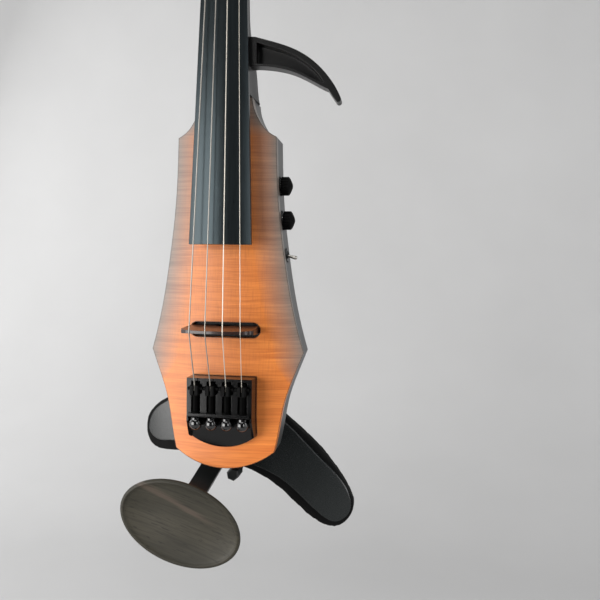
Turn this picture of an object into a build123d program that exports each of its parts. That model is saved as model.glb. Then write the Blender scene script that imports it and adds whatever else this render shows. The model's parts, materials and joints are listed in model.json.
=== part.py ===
from build123d import *
import os
from math import cos, radians, sin, sqrt

os.makedirs("parts", exist_ok=True)

# Electric violin, solid body, headless, with chin rest and shoulder rest. Millimetres.
# Origin: middle of the bridge's crown. +Z to the head, +X to the treble side, +Y into the back.

# ---- strings and playing geometry ----
SCALE = 328.0
STRING_SLOPE = 0.0617
BRIDGE_X = [-17.0, -5.8, 5.8, 17.0]
NUT_X = [-8.25, -2.75, 2.75, 8.25]
STRING_R = [0.40, 0.36, 0.31, 0.20]
BRIDGE_ARC_R = 60.0
BRIDGE_HALF_T = 2.7
BRIDGE_CROWN_HALF_T = 0.9
BRIDGE_SHOULDER_Y = 25.0
STRING_SINK = 0.1
GROOVE_GAP = 0.03

# ---- body ----
TOP_Y = 27.0
GLUE_Y = 36.0
BACK_Y = 58.0
ARCH_R = 200.0
BACK_ROUND = 3.0
NECK_Z = 156.0
NECK_HALF = 17.7
SHOULDER = (34.0, 130.0)
WAIST = (53.9, -15.5)
TAIL_CORNER = (34.8, -84.0)
TAIL_Z = -96.0

# ---- fingerboard ----
BOARD_END_Z = 57.0
BOARD_END_HALF = 21.0
BOARD_NUT_HALF = 12.0
BOARD_ARC_R = 50.0
BOARD_END_CROWN_Y = 8.5
BOARD_NUT_CROWN_Y = 21.0
BOARD_END_BASE_Y = 16.4
BOARD_NUT_BASE_Y = 26.0

# ---- neck and head ----
NUT_T = 5.0
HEAD_END_Z = 358.0
TENON_HALF = 15.0
TENON_Z = 116.0
TENON_Y = 48.0
EXTENSION_Z = 61.0
EXTENSION_Y = 30.0
ROD_HALF = 3.0
ROD_DEPTH = 9.0
ROD_START_Z = 199.0
ROD_END_Z = 322.0
ANCHOR_Z = 338.0
ANCHOR_T = 3.0
ANCHOR_BALL_Y = 25.6
ANCHOR_FLOOR_Y = 32.0
ANCHOR_SCREW_Z = 346.5
ANCHOR_SCREW_X = 5.5
ANCHOR_HALF = 10.2
ANCHOR_END_Z = 350.0
ANCHOR_FOOT_T = 1.5
ANCHOR_WALL_TOP_Y = 22.4
BALL_R = 1.8
BALL_HALF = 1.6

# ---- tuner ----
JAW_X = [-16.0, -5.3, 5.3, 16.0]
TUNER_HALF = 22.3
TUNER_TOP_Z = -32.0
TUNER_CORNER = (22.8, -72.0)
TUNER_APEX_Z = -80.5
TUNER_BASE_Y = 33.0
FIN_Y = 14.5
SLOT_HALF = 3.1
SLOT_FRONT_Z = -34.0
SLOT_BACK_Z = -55.5
SLOT_FLOOR_Y = 25.0
BULKHEAD_Z = -58.0
SCREW_Y = 14.7
LEAD_R = 2.0
LEAD_GAP = 0.05
BULKHEAD_TOP_Y = 12.2
JAW_HALF = 3.05
JAW_FRONT_Z = -36.4
JAW_LENGTH = 6.5
JAW_TOP_Y = 9.8
JAW_WING = 4.9
STRING_END_Z = -40.0
STRING_END_Y = 11.5
KNOB_R = 4.3
KNOB_COLLAR_R = 3.2
KNOB_LENGTH = 8.6
KNOB_GAP = 0.3
LEAD_END_GAP = 0.8
LEAD_TAIL = 7.5
FLANGE_R = 2.9
WING_R = 1.15
RAIL_T = 1.2
APRON_Y = 21.5
APRON_TAIL_Y = 25.4

# ---- bridge and pickup ----
SLOT_CENTRE_Z = -0.4
SLOT_OVERALL = 49.2
SLOT_WIDTH = 10.4
SLOT_BOTTOM_Y = 42.0
BRIDGE_FOOT_HALF = 23.2
BRIDGE_TIP = (24.4, 9.0)
BRIDGE_CROWN_HALF = 18.6
BRIDGE_LEG_X = 6.5
BRIDGE_ARCH_TOP_Y = 22.0
SENSOR_T = 1.8
SEAT_FLOOR_T = 1.2
SEAT_DEPTH = 9.0

# ---- controls ----
CONTROL_Y = 42.0
VOLUME_Z = 98.5
TONE_Z = 75.0
TOGGLE_Z = 51.3
VOLUME_SEAT_X = 33.6
TONE_SEAT_X = 35.4
TOGGLE_SEAT_X = 38.9
CAVITY_WALL_X = 27.4
CAVITY_ROOF_Y = 37.5
COVER_T = 1.6
JACK_Z = -52.0
JACK_Y = 45.0
JACK_SEAT_X = -39.4
PLUG_BORE_R = 3.25

# ---- rests ----
HORN_Y = (22.0, 31.5)
HORN_BASE_X = 14.6
HORN_BASE_Z = (174.6, 193.8)
HORN_WEB_T = 2.6
HORN_HOLLOW_X = 21.4
CHIN_CENTRE = (-22.6, -126.6)
CHIN_TILT_DEG = 18.0
CHIN_HALF = (42.3, 27.4)
CHIN_TOP_Y = 0.5
CHIN_BOTTOM_Y = 11.5
ARM_PIVOT = (-11.0, -86.0)
ARM_DEG = 14.0
ARM_T = 3.0
ARM_Y = 61.1
LOCK = (2.2, -105.9)
POST = (3.0, -60.0)
REST_FRONT_Y = 71.0
REST_ARC_R = 220.0
REST_ARC_X = 5.0
REST_PLATE_T = 4.0
REST_PAD_T = 10.0


def front(depth):
    """Plane facing the player, at a depth behind the bridge crown: sketch x is X, sketch y is Z."""
    return Plane.XZ.offset(-depth)


def arc_drop(radius, x):
    """Sag of a circular arc at a distance x from its crown."""
    return radius - sqrt(radius * radius - x * x)


def board_half(z):
    """Half width of the fingerboard at a station along the neck."""
    along = (z - BOARD_END_Z) / (SCALE - BOARD_END_Z)
    return BOARD_END_HALF + (BOARD_NUT_HALF - BOARD_END_HALF) * along


def board_base(z):
    """Depth of the glue line between fingerboard and neck."""
    along = (z - BOARD_END_Z) / (SCALE - BOARD_END_Z)
    return BOARD_END_BASE_Y + (BOARD_NUT_BASE_Y - BOARD_END_BASE_Y) * along


def save(builder, name):
    builder.part.label = name
    export_step(builder.part, "parts/" + name + ".step")


def draw_outline():
    """Outline of the body seen from the front, symmetric about the string plane."""
    with BuildLine() as outline:
        Spline(
            (NECK_HALF, NECK_Z), (19.7, 146.6), (23.3, 139.4), SHOULDER,
            tangents=[(0.05, -1), (1.0, -0.45)],
        )
        Spline(SHOULDER, (34.4, 114.5), (35.7, 87.5), (39.5, 54.0), (45.0, 20.0), WAIST)
        Spline(WAIST, (46.2, -35.0), (41.7, -48.5), (38.9, -62.5), TAIL_CORNER)
        mirror(about=Plane.YZ)
        ThreePointArc(TAIL_CORNER, (0, TAIL_Z), (-TAIL_CORNER[0], TAIL_CORNER[1]))
        Line((-NECK_HALF, NECK_Z), (NECK_HALF, NECK_Z))
    make_face(outline.edges())


def draw_tuner_outline():
    """Outline of the tuner housing: straight sides that flare at the knob end, curved tail."""
    with BuildLine() as outline:
        Line((-TUNER_HALF, TUNER_TOP_Z), (TUNER_HALF, TUNER_TOP_Z))
        Line((TUNER_HALF, TUNER_TOP_Z), (TUNER_HALF, BULKHEAD_Z))
        Line((TUNER_HALF, BULKHEAD_Z), TUNER_CORNER)
        ThreePointArc(TUNER_CORNER, (0, TUNER_APEX_Z), (-TUNER_CORNER[0], TUNER_CORNER[1]))
        Line((-TUNER_CORNER[0], TUNER_CORNER[1]), (-TUNER_HALF, BULKHEAD_Z))
        Line((-TUNER_HALF, BULKHEAD_Z), (-TUNER_HALF, TUNER_TOP_Z))
    make_face(outline.edges())


def add_round(plane, radius, length, mode=Mode.ADD):
    """Cylinder that grows from a plane along its normal; a negative length grows the other way."""
    with BuildSketch(plane) as disc:
        Circle(radius)
    extrude(disc.sketch, amount=length, mode=mode)


def add_screw(plane, head_r, head_h, shank_r, length):
    """Pan head screw: head stands on the plane, shank goes down behind it, cross slot in the head."""
    slot_depth = 0.5 * head_h
    add_round(plane, head_r, head_h)
    add_round(plane, shank_r, -length)
    with BuildSketch(plane.offset(head_h)) as cross:
        Rectangle(1.3 * head_r, 0.28 * head_r)
        Rectangle(0.28 * head_r, 1.3 * head_r)
    extrude(cross.sketch, amount=-slot_depth, mode=Mode.SUBTRACT)


def disc_at(plane, radius):
    """Round section for a loft."""
    with BuildSketch(plane) as disc:
        Circle(radius)
    return disc.sketch


def bore_at(plane, radius, depth):
    """Round hole cut down from a plane, against its normal."""
    add_round(plane, radius, -depth, Mode.SUBTRACT)


# Screw positions shared by the pieces they join.
TUNER_SCREWS = [(-14.5, -70.0), (14.5, -70.0), (0.0, -36.0)]
MACHINE_R = 2.0
MACHINE_HEAD_R = 3.6
MACHINE_HEAD_H = 2.4
TUNER_SCREW_SEAT_Y = 54.0
MACHINE_LENGTH = 26.0
COVER_SCREWS = [(-16.2, 45.0), (34.4, 45.0), (29.3, 109.2), (-16.2, 109.2)]
COVER_SCREW_R = 1.1
COVER_HEAD_R = 1.9
COVER_HEAD_H = 0.9
COVER_SCREW_LENGTH = 7.5
BRACKET_SCREWS = [(-21.0, -79.0), (-3.6, -79.5)]
FLANGE_SCREWS = [(-7.0, -49.5), (13.0, -49.5), (-7.0, -70.5)]
WOOD_SCREW_R = 1.6
WOOD_HEAD_R = 3.0
WOOD_HEAD_H = 1.3
WOOD_SCREW_LENGTH = 8.0
HORN_SCREW_Z = [179.4, 188.8]
HORN_SCREW_Y = 27.0
HORN_HEAD_SEAT_X = -6.5
POST_R = 5.0
POST_HOLE_R = 5.4
POST_HOLE_DEPTH = 14.0
SLIDE_GAP = 0.04
BUSH_R = 3.5
TOGGLE_BUSH_R = 2.9
SEAT_R = 6.9
TOGGLE_SEAT_R = 5.4
JACK_BARREL_R = 5.8
JACK_LENGTH = 37.0
JACK_BEZEL_R = 8.0
JACK_BEZEL_T = 2.0
HOLE_GAP = 0.05


def jack_plane(x):
    """Plane across the jack's axis, facing out of the bass flank."""
    return Plane(origin=(x, JACK_Y, JACK_Z), x_dir=(0, 1, 0), z_dir=(-1, 0, 0))


def control_plane(x, z):
    """Plane across a control's axis on the treble flank, facing out."""
    return Plane(origin=(x, CONTROL_Y, z), x_dir=(0, 1, 0), z_dir=(1, 0, 0))


def horn_seat(z):
    """Seat of a horn screw's head inside the heel, facing out of the bass side."""
    return Plane(origin=(HORN_HEAD_SEAT_X, HORN_SCREW_Y, z), x_dir=(0, 1, 0), z_dir=(-1, 0, 0))


def back_plane(x, z, depth):
    """Plane facing away from the player at a point on the back."""
    return Plane(origin=(x, depth, z), x_dir=(-1, 0, 0), z_dir=(0, 1, 0))


def draw_cover(inset):
    """Outline of the control cavity or of its cover, which follows the treble flank."""
    with BuildLine() as outline:
        Polyline(
            (-19 + inset, 42 + inset), (37.4 - 0.65 * inset, 42 + inset),
            (36.2 - 0.6 * inset, 60), (32.4 - inset, 68),
            (32.4 - inset, 112 - inset), (-19 + inset, 112 - inset), close=True,
        )
        fillet(outline.vertices(), radius=2.0)
    make_face(outline.edges())


# ================= body =================
with BuildPart() as body_core:
    with BuildSketch(front(BACK_Y)):
        draw_outline()
    extrude(amount=BACK_Y - GLUE_Y)
    back_rim = body_core.faces().sort_by(Axis.Y)[-1].outer_wire().edges()
    fillet(back_rim.filter_by(lambda e: e.center().Z < NECK_Z - 0.5), radius=BACK_ROUND)
    # neck mortise
    with BuildSketch(front(TENON_Y)):
        with Locations((0, 0.5 * (TENON_Z + NECK_Z))):
            Rectangle(2 * TENON_HALF, NECK_Z - TENON_Z)
    extrude(amount=TENON_Y - GLUE_Y, mode=Mode.SUBTRACT)
    # bridge well
    with BuildSketch(front(SLOT_BOTTOM_Y)):
        with Locations((0, SLOT_CENTRE_Z)):
            SlotOverall(SLOT_OVERALL, SLOT_WIDTH)
    extrude(amount=SLOT_BOTTOM_Y - GLUE_Y, mode=Mode.SUBTRACT)
    # control cavity with its cover ledge
    with BuildSketch(front(BACK_Y)):
        draw_cover(5.0)
    extrude(amount=BACK_Y - CAVITY_ROOF_Y, mode=Mode.SUBTRACT)
    with BuildSketch(front(BACK_Y)):
        draw_cover(0.0)
    extrude(amount=COVER_T, mode=Mode.SUBTRACT)
    # control bushes and their seats
    for z, seat in ((VOLUME_Z, VOLUME_SEAT_X), (TONE_Z, TONE_SEAT_X)):
        bore_at(control_plane(seat + 8, z), SEAT_R, 8)
        bore_at(control_plane(seat, z), BUSH_R, 12)
    bore_at(control_plane(TOGGLE_SEAT_X + 6, TOGGLE_Z), TOGGLE_SEAT_R, 6)
    bore_at(control_plane(TOGGLE_SEAT_X, TOGGLE_Z), TOGGLE_BUSH_R, 8)
    # jack bore and bezel seat
    bore_at(jack_plane(JACK_SEAT_X - 8), JACK_BEZEL_R + HOLE_GAP, 8)
    bore_at(jack_plane(JACK_SEAT_X), JACK_BARREL_R, JACK_LENGTH)
    # wire runs: bridge well to cavity, jack to cavity
    with BuildSketch(Plane.XY.offset(SLOT_CENTRE_Z)):
        with Locations((20.0, 40.0), (-6.0, 46.0)):
            Circle(1.5)
    extrude(amount=60, mode=Mode.SUBTRACT)
    with BuildSketch(Plane.XY.offset(SLOT_CENTRE_Z)):
        with Locations((-6.0, 46.0)):
            Circle(1.5)
    extrude(amount=-48, mode=Mode.SUBTRACT)
    # tuner screws from the back
    for x, z in TUNER_SCREWS:
        bore_at(back_plane(x, z, BACK_Y), MACHINE_HEAD_R + 0.3, BACK_Y - TUNER_SCREW_SEAT_Y)
        bore_at(back_plane(x, z, BACK_Y), MACHINE_R + HOLE_GAP, BACK_Y - GLUE_Y)
    # pilot holes for cover, brackets and flange
    for x, z in COVER_SCREWS:
        bore_at(back_plane(x, z, BACK_Y), COVER_SCREW_R, 10)
    for x, z in BRACKET_SCREWS + FLANGE_SCREWS:
        bore_at(back_plane(x, z, BACK_Y), WOOD_SCREW_R, 7)
    bore_at(back_plane(POST[0], POST[1], BACK_Y), POST_HOLE_R, POST_HOLE_DEPTH)
    bore_at(back_plane(ARM_PIVOT[0], ARM_PIVOT[1], BACK_Y), 2.6, 6)
save(body_core, "body_core")

with BuildPart() as top_plate:
    with BuildSketch(front(GLUE_Y)):
        draw_outline()
    extrude(amount=GLUE_Y - TOP_Y + 1)
    with BuildSketch(Plane.XY.offset(TAIL_Z - 5)):
        with Locations((0, TOP_Y + ARCH_R)):
            Circle(ARCH_R)
    extrude(amount=NECK_Z - TAIL_Z + 10, mode=Mode.INTERSECT)
    with BuildSketch(front(GLUE_Y)):
        with Locations((0, SLOT_CENTRE_Z)):
            SlotOverall(SLOT_OVERALL, SLOT_WIDTH)
        with Locations((0, 0.5 * (TENON_Z + NECK_Z))):
            Rectangle(2 * TENON_HALF, NECK_Z - TENON_Z)
    extrude(amount=GLUE_Y, mode=Mode.SUBTRACT)
    # recess under the fingerboard for the neck's extension, rounded at its end
    with BuildSketch(front(EXTENSION_Y)):
        with BuildLine():
            Line((TENON_HALF, TENON_Z), (TENON_HALF, EXTENSION_Z + 8))
            ThreePointArc((TENON_HALF, EXTENSION_Z + 8), (0, EXTENSION_Z), (-TENON_HALF, EXTENSION_Z + 8))
            Line((-TENON_HALF, EXTENSION_Z + 8), (-TENON_HALF, TENON_Z))
            Line((-TENON_HALF, TENON_Z), (TENON_HALF, TENON_Z))
        make_face()
    extrude(amount=EXTENSION_Y, mode=Mode.SUBTRACT)
    # recess for the tuner housing, with its screw holes
    with BuildSketch(front(TUNER_BASE_Y)):
        draw_tuner_outline()
        offset(amount=0.15)
    extrude(amount=TUNER_BASE_Y, mode=Mode.SUBTRACT)
    for x, z in TUNER_SCREWS:
        bore_at(back_plane(x, z, GLUE_Y), MACHINE_R + HOLE_GAP, GLUE_Y - TUNER_BASE_Y + 1)
    # seats of the two knobs cut the lower edge of the plate as well
    for z, seat in ((VOLUME_Z, VOLUME_SEAT_X), (TONE_Z, TONE_SEAT_X)):
        bore_at(control_plane(seat + 8, z), SEAT_R, 8)
save(top_plate, "top_plate")

with BuildPart() as cavity_cover:
    with BuildSketch(front(BACK_Y)):
        draw_cover(0.1)
    extrude(amount=COVER_T)
    for x, z in COVER_SCREWS:
        bore_at(back_plane(x, z, BACK_Y), COVER_SCREW_R + HOLE_GAP, COVER_T)
save(cavity_cover, "cavity_cover")


# ================= neck and head =================
def neck_section(z, back_y, fullness):
    """D-shaped section of the neck; fullness is 0.707 for an ellipse and more for a squarer heel."""
    half = board_half(z)
    top = board_base(z) - 0.6
    side = top + 3.0
    with BuildSketch(Plane.XY.offset(z)) as section:
        with BuildLine():
            Line((-half, top), (half, top))
            Line((half, top), (half, side))
            Spline(
                (half, side), (fullness * half, side + fullness * (back_y - side)), (0, back_y),
                (-fullness * half, side + fullness * (back_y - side)), (-half, side),
                tangents=[(0, 1), (0, -1)],
            )
            Line((-half, side), (-half, top))
        make_face()
    return section.sketch


with BuildPart() as neck:
    # playing length of the neck
    loft([
        neck_section(214.0, 37.6, 0.74), neck_section(270.0, 39.0, 0.73),
        neck_section(SCALE + NUT_T, 40.2, 0.72),
    ])
    # heel
    loft([
        neck_section(NECK_Z, 56.6, 0.88), neck_section(171.0, 53.6, 0.85),
        neck_section(184.0, 49.6, 0.82), neck_section(194.0, 43.6, 0.78),
        neck_section(204.0, 38.6, 0.75), neck_section(214.0, 37.6, 0.74),
    ])
    # extension under the fingerboard and tenon in the body
    with BuildSketch(front(EXTENSION_Y)):
        with BuildLine():
            Line((TENON_HALF, NECK_Z), (TENON_HALF, EXTENSION_Z + 8))
            ThreePointArc((TENON_HALF, EXTENSION_Z + 8), (0, EXTENSION_Z), (-TENON_HALF, EXTENSION_Z + 8))
            Line((-TENON_HALF, EXTENSION_Z + 8), (-TENON_HALF, NECK_Z))
            Line((-TENON_HALF, NECK_Z), (TENON_HALF, NECK_Z))
        make_face()
    extrude(amount=EXTENSION_Y - BOARD_END_BASE_Y + 2)
    with BuildSketch(front(TENON_Y)):
        with Locations((0, 0.5 * (TENON_Z + NECK_Z))):
            Rectangle(2 * TENON_HALF, NECK_Z - TENON_Z)
    extrude(amount=TENON_Y - EXTENSION_Y)
    # head block behind the nut
    with BuildSketch(Plane.YZ):
        with BuildLine():
            Polyline(
                (23.0, SCALE + NUT_T), (23.0, HEAD_END_Z - 3), (25.5, HEAD_END_Z),
                (37.0, HEAD_END_Z), (40.2, HEAD_END_Z - 3), (40.2, SCALE + NUT_T), close=True,
            )
        make_face()
    extrude(amount=BOARD_NUT_HALF - 0.3, both=True)
    # flat for the fingerboard
    with BuildSketch(Plane.YZ):
        with BuildLine():
            Polyline(
                (board_base(0), 0), (board_base(SCALE), SCALE),
                (board_base(SCALE) - 30, SCALE), (board_base(0) - 30, 0), close=True,
            )
        make_face()
    extrude(amount=40, both=True, mode=Mode.SUBTRACT)
    # flat under the nut
    with BuildSketch(Plane.YZ):
        with Locations((BOARD_NUT_BASE_Y - 10, SCALE + 0.5 * NUT_T)):
            Rectangle(20, NUT_T)
    extrude(amount=40, both=True, mode=Mode.SUBTRACT)
    # string anchor pocket
    with BuildSketch(front(ANCHOR_FLOOR_Y)):
        with Locations((0, 0.5 * (SCALE + NUT_T + ANCHOR_END_Z) + 1.0)):
            Rectangle(2 * ANCHOR_HALF + 0.4, ANCHOR_END_Z - SCALE - NUT_T + 0.4)
    extrude(amount=20, mode=Mode.SUBTRACT)
    # truss rod channel
    with BuildSketch(Plane.YZ):
        with BuildLine():
            Polyline(
                (board_base(ROD_START_Z) - 1, ROD_START_Z), (board_base(ROD_END_Z) - 1, ROD_END_Z),
                (board_base(ROD_END_Z) + ROD_DEPTH, ROD_END_Z),
                (board_base(ROD_START_Z) + ROD_DEPTH, ROD_START_Z), close=True,
            )
        make_face()
    extrude(amount=ROD_HALF, both=True, mode=Mode.SUBTRACT)
    # seat of the horn on the treble side of the heel, and its two screw holes
    with BuildSketch(front(HORN_Y[1])):
        with Locations((HORN_BASE_X + 10, 0.5 * (HORN_BASE_Z[0] + HORN_BASE_Z[1]))):
            Rectangle(20, HORN_BASE_Z[1] - HORN_BASE_Z[0])
    extrude(amount=HORN_Y[1] - 10, mode=Mode.SUBTRACT)
    for z in HORN_SCREW_Z:
        add_round(horn_seat(z), MACHINE_HEAD_R + 0.2, 20, Mode.SUBTRACT)
        bore_at(horn_seat(z), MACHINE_R + HOLE_GAP, 40)
    # anchor screw pilots
    for x in (-ANCHOR_SCREW_X, ANCHOR_SCREW_X):
        anchor_hole = Plane(origin=(x, ANCHOR_FLOOR_Y, ANCHOR_SCREW_Z), x_dir=(1, 0, 0), z_dir=(0, -1, 0))
        bore_at(anchor_hole, COVER_SCREW_R, 7)
save(neck, "neck")

with BuildPart() as truss_rod:
    with BuildSketch(Plane.YZ):
        with BuildLine():
            Polyline(
                (board_base(ROD_START_Z), ROD_START_Z), (board_base(ROD_END_Z), ROD_END_Z),
                (board_base(ROD_END_Z) + ROD_DEPTH, ROD_END_Z),
                (board_base(ROD_START_Z) + ROD_DEPTH, ROD_START_Z), close=True,
            )
        make_face()
    extrude(amount=ROD_HALF, both=True)
save(truss_rod, "truss_rod")

with BuildPart() as fingerboard:
    for z, half, crown, base in (
        (BOARD_END_Z, BOARD_END_HALF, BOARD_END_CROWN_Y, BOARD_END_BASE_Y),
        (SCALE, BOARD_NUT_HALF, BOARD_NUT_CROWN_Y, BOARD_NUT_BASE_Y),
    ):
        edge = crown + arc_drop(BOARD_ARC_R, half)
        with BuildSketch(Plane.XY.offset(z)):
            with BuildLine():
                Line((-half, base), (half, base))
                Line((half, base), (half, edge))
                ThreePointArc((half, edge), (0, crown), (-half, edge))
                Line((-half, edge), (-half, base))
            make_face()
    loft(ruled=True)
save(fingerboard, "fingerboard")

NUT_CROWN_Y = STRING_SLOPE * SCALE - 0.3
with BuildPart() as nut:
    nut_edge = NUT_CROWN_Y + arc_drop(BRIDGE_ARC_R, BOARD_NUT_HALF)
    with BuildSketch(Plane.XY.offset(SCALE)):
        with BuildLine():
            Line((-BOARD_NUT_HALF, BOARD_NUT_BASE_Y), (BOARD_NUT_HALF, BOARD_NUT_BASE_Y))
            Line((BOARD_NUT_HALF, BOARD_NUT_BASE_Y), (BOARD_NUT_HALF, nut_edge))
            ThreePointArc((BOARD_NUT_HALF, nut_edge), (0, NUT_CROWN_Y), (-BOARD_NUT_HALF, nut_edge))
            Line((-BOARD_NUT_HALF, nut_edge), (-BOARD_NUT_HALF, BOARD_NUT_BASE_Y))
        make_face()
    extrude(amount=NUT_T)
    for x, radius in zip(NUT_X, STRING_R):
        groove_y = STRING_SLOPE * SCALE + arc_drop(BRIDGE_ARC_R, abs(x))
        with BuildSketch(Plane.XY.offset(SCALE - 1)):
            with Locations((x, groove_y)):
                Circle(radius + GROOVE_GAP)
            with Locations((x, groove_y - 2)):
                Rectangle(2 * (radius + GROOVE_GAP), 4)
        extrude(amount=NUT_T + 2, mode=Mode.SUBTRACT)
save(nut, "nut")

with BuildPart() as string_anchor:
    with BuildSketch(Plane.YZ):
        with BuildLine():
            Polyline(
                (ANCHOR_FLOOR_Y, ANCHOR_Z), (ANCHOR_FLOOR_Y, ANCHOR_END_Z),
                (ANCHOR_FLOOR_Y - ANCHOR_FOOT_T, ANCHOR_END_Z),
                (ANCHOR_FLOOR_Y - ANCHOR_FOOT_T, ANCHOR_Z + ANCHOR_T),
                (ANCHOR_WALL_TOP_Y, ANCHOR_Z + ANCHOR_T), (ANCHOR_WALL_TOP_Y, ANCHOR_Z), close=True,
            )
        make_face()
    extrude(amount=ANCHOR_HALF, both=True)
    # keyhole slots for the strings
    with BuildSketch(Plane.XY.offset(ANCHOR_Z - 1)):
        for x in NUT_X:
            with Locations((x, ANCHOR_BALL_Y)):
                Circle(0.7)
            with Locations((x, ANCHOR_BALL_Y - 3)):
                Rectangle(1.4, 6)
    extrude(amount=ANCHOR_T + 2, mode=Mode.SUBTRACT)
    for x in (-ANCHOR_SCREW_X, ANCHOR_SCREW_X):
        anchor_hole = Plane(origin=(x, ANCHOR_FLOOR_Y, ANCHOR_SCREW_Z), x_dir=(1, 0, 0), z_dir=(0, -1, 0))
        add_round(anchor_hole, COVER_SCREW_R + HOLE_GAP, 4, Mode.SUBTRACT)
save(string_anchor, "string_anchor")

with BuildPart() as small_screws:
    # string anchor and cavity cover use the same screw
    for x in (-ANCHOR_SCREW_X, ANCHOR_SCREW_X):
        seat = Plane(
            origin=(x, ANCHOR_FLOOR_Y - ANCHOR_FOOT_T, ANCHOR_SCREW_Z), x_dir=(1, 0, 0), z_dir=(0, -1, 0),
        )
        add_screw(seat, COVER_HEAD_R, COVER_HEAD_H, COVER_SCREW_R, COVER_SCREW_LENGTH)
    for x, z in COVER_SCREWS:
        add_screw(back_plane(x, z, BACK_Y), COVER_HEAD_R, COVER_HEAD_H, COVER_SCREW_R, COVER_SCREW_LENGTH)
save(small_screws, "small_screws")


# ================= bridge and strings =================
with BuildPart() as bridge:
    with BuildSketch(Plane.XY):
        with BuildLine():
            crown_y = arc_drop(BRIDGE_ARC_R, BRIDGE_CROWN_HALF)
            foot_y = SLOT_BOTTOM_Y - SEAT_FLOOR_T - SENSOR_T
            ThreePointArc((-BRIDGE_CROWN_HALF, crown_y), (0, 0), (BRIDGE_CROWN_HALF, crown_y))
            Spline(
                (BRIDGE_CROWN_HALF, crown_y), (22.8, 5.4), BRIDGE_TIP,
                tangents=[(1.0, 0.33), (0.1, 1.0)],
            )
            Line(BRIDGE_TIP, (BRIDGE_FOOT_HALF, TOP_Y + 3))
            Line((BRIDGE_FOOT_HALF, TOP_Y + 3), (BRIDGE_FOOT_HALF, foot_y))
            Line((BRIDGE_FOOT_HALF, foot_y), (-BRIDGE_FOOT_HALF, foot_y))
            Line((-BRIDGE_FOOT_HALF, foot_y), (-BRIDGE_FOOT_HALF, TOP_Y + 3))
            Line((-BRIDGE_FOOT_HALF, TOP_Y + 3), (-BRIDGE_TIP[0], BRIDGE_TIP[1]))
            Spline(
                (-BRIDGE_TIP[0], BRIDGE_TIP[1]), (-22.8, 5.4), (-BRIDGE_CROWN_HALF, crown_y),
                tangents=[(0.1, -1.0), (1.0, -0.33)],
            )
        make_face()
    extrude(amount=BRIDGE_HALF_T, both=True)
    # both faces slope from the shoulders to a narrow crown
    with BuildSketch(Plane.YZ):
        with BuildLine():
            Polyline(
                (-1.0, BRIDGE_CROWN_HALF_T), (0, BRIDGE_CROWN_HALF_T), (BRIDGE_SHOULDER_Y, BRIDGE_HALF_T),
                (BRIDGE_SHOULDER_Y, BRIDGE_HALF_T + 1), (-1.0, BRIDGE_HALF_T + 1), close=True,
            )
        make_face()
        mirror(about=Plane.XZ)
    extrude(amount=BRIDGE_FOOT_HALF + 5, both=True, mode=Mode.SUBTRACT)
    # centre arch between the two legs
    with BuildSketch(Plane.XY):
        with BuildLine():
            Line((-BRIDGE_LEG_X, foot_y + 1), (BRIDGE_LEG_X, foot_y + 1))
            Line((BRIDGE_LEG_X, foot_y + 1), (BRIDGE_LEG_X, TOP_Y + 2))
            ThreePointArc((BRIDGE_LEG_X, TOP_Y + 2), (0, BRIDGE_ARCH_TOP_Y), (-BRIDGE_LEG_X, TOP_Y + 2))
            Line((-BRIDGE_LEG_X, TOP_Y + 2), (-BRIDGE_LEG_X, foot_y + 1))
        make_face()
    extrude(amount=BRIDGE_HALF_T + 1, both=True, mode=Mode.SUBTRACT)
    for x, radius in zip(BRIDGE_X, STRING_R):
        groove_y = arc_drop(BRIDGE_ARC_R, abs(x)) - STRING_SINK
        with BuildSketch(Plane.XY):
            with Locations((x, groove_y)):
                Circle(radius + GROOVE_GAP)
        extrude(amount=BRIDGE_HALF_T + 1, both=True, mode=Mode.SUBTRACT)
save(bridge, "bridge")

with BuildPart() as bridge_seat:
    with BuildSketch(front(SLOT_BOTTOM_Y)):
        with Locations((0, SLOT_CENTRE_Z)):
            SlotOverall(SLOT_OVERALL - 0.4, SLOT_WIDTH - 0.4)
    extrude(amount=SEAT_DEPTH)
    # channel for the bridge's legs and the pickups under them
    with BuildSketch(front(SLOT_BOTTOM_Y - SEAT_FLOOR_T)):
        Rectangle(2 * BRIDGE_FOOT_HALF + 0.2, 2 * BRIDGE_HALF_T + 0.1)
    extrude(amount=10, mode=Mode.SUBTRACT)
    for x in (-15.0, 20.0):
        with BuildSketch(front(SLOT_BOTTOM_Y)):
            with Locations((x, -4.2 if x < 0 else 3.9)):
                Circle(0.6)
        extrude(amount=10, mode=Mode.SUBTRACT)
save(bridge_seat, "bridge_seat")

with BuildPart() as pickup_elements:
    with BuildSketch(front(SLOT_BOTTOM_Y - SEAT_FLOOR_T)):
        with Locations((-15.3, 0), (15.3, 0)):
            RectangleRounded(14.0, 4.6, 1.0)
    extrude(amount=SENSOR_T)
save(pickup_elements, "pickup_elements")

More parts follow.
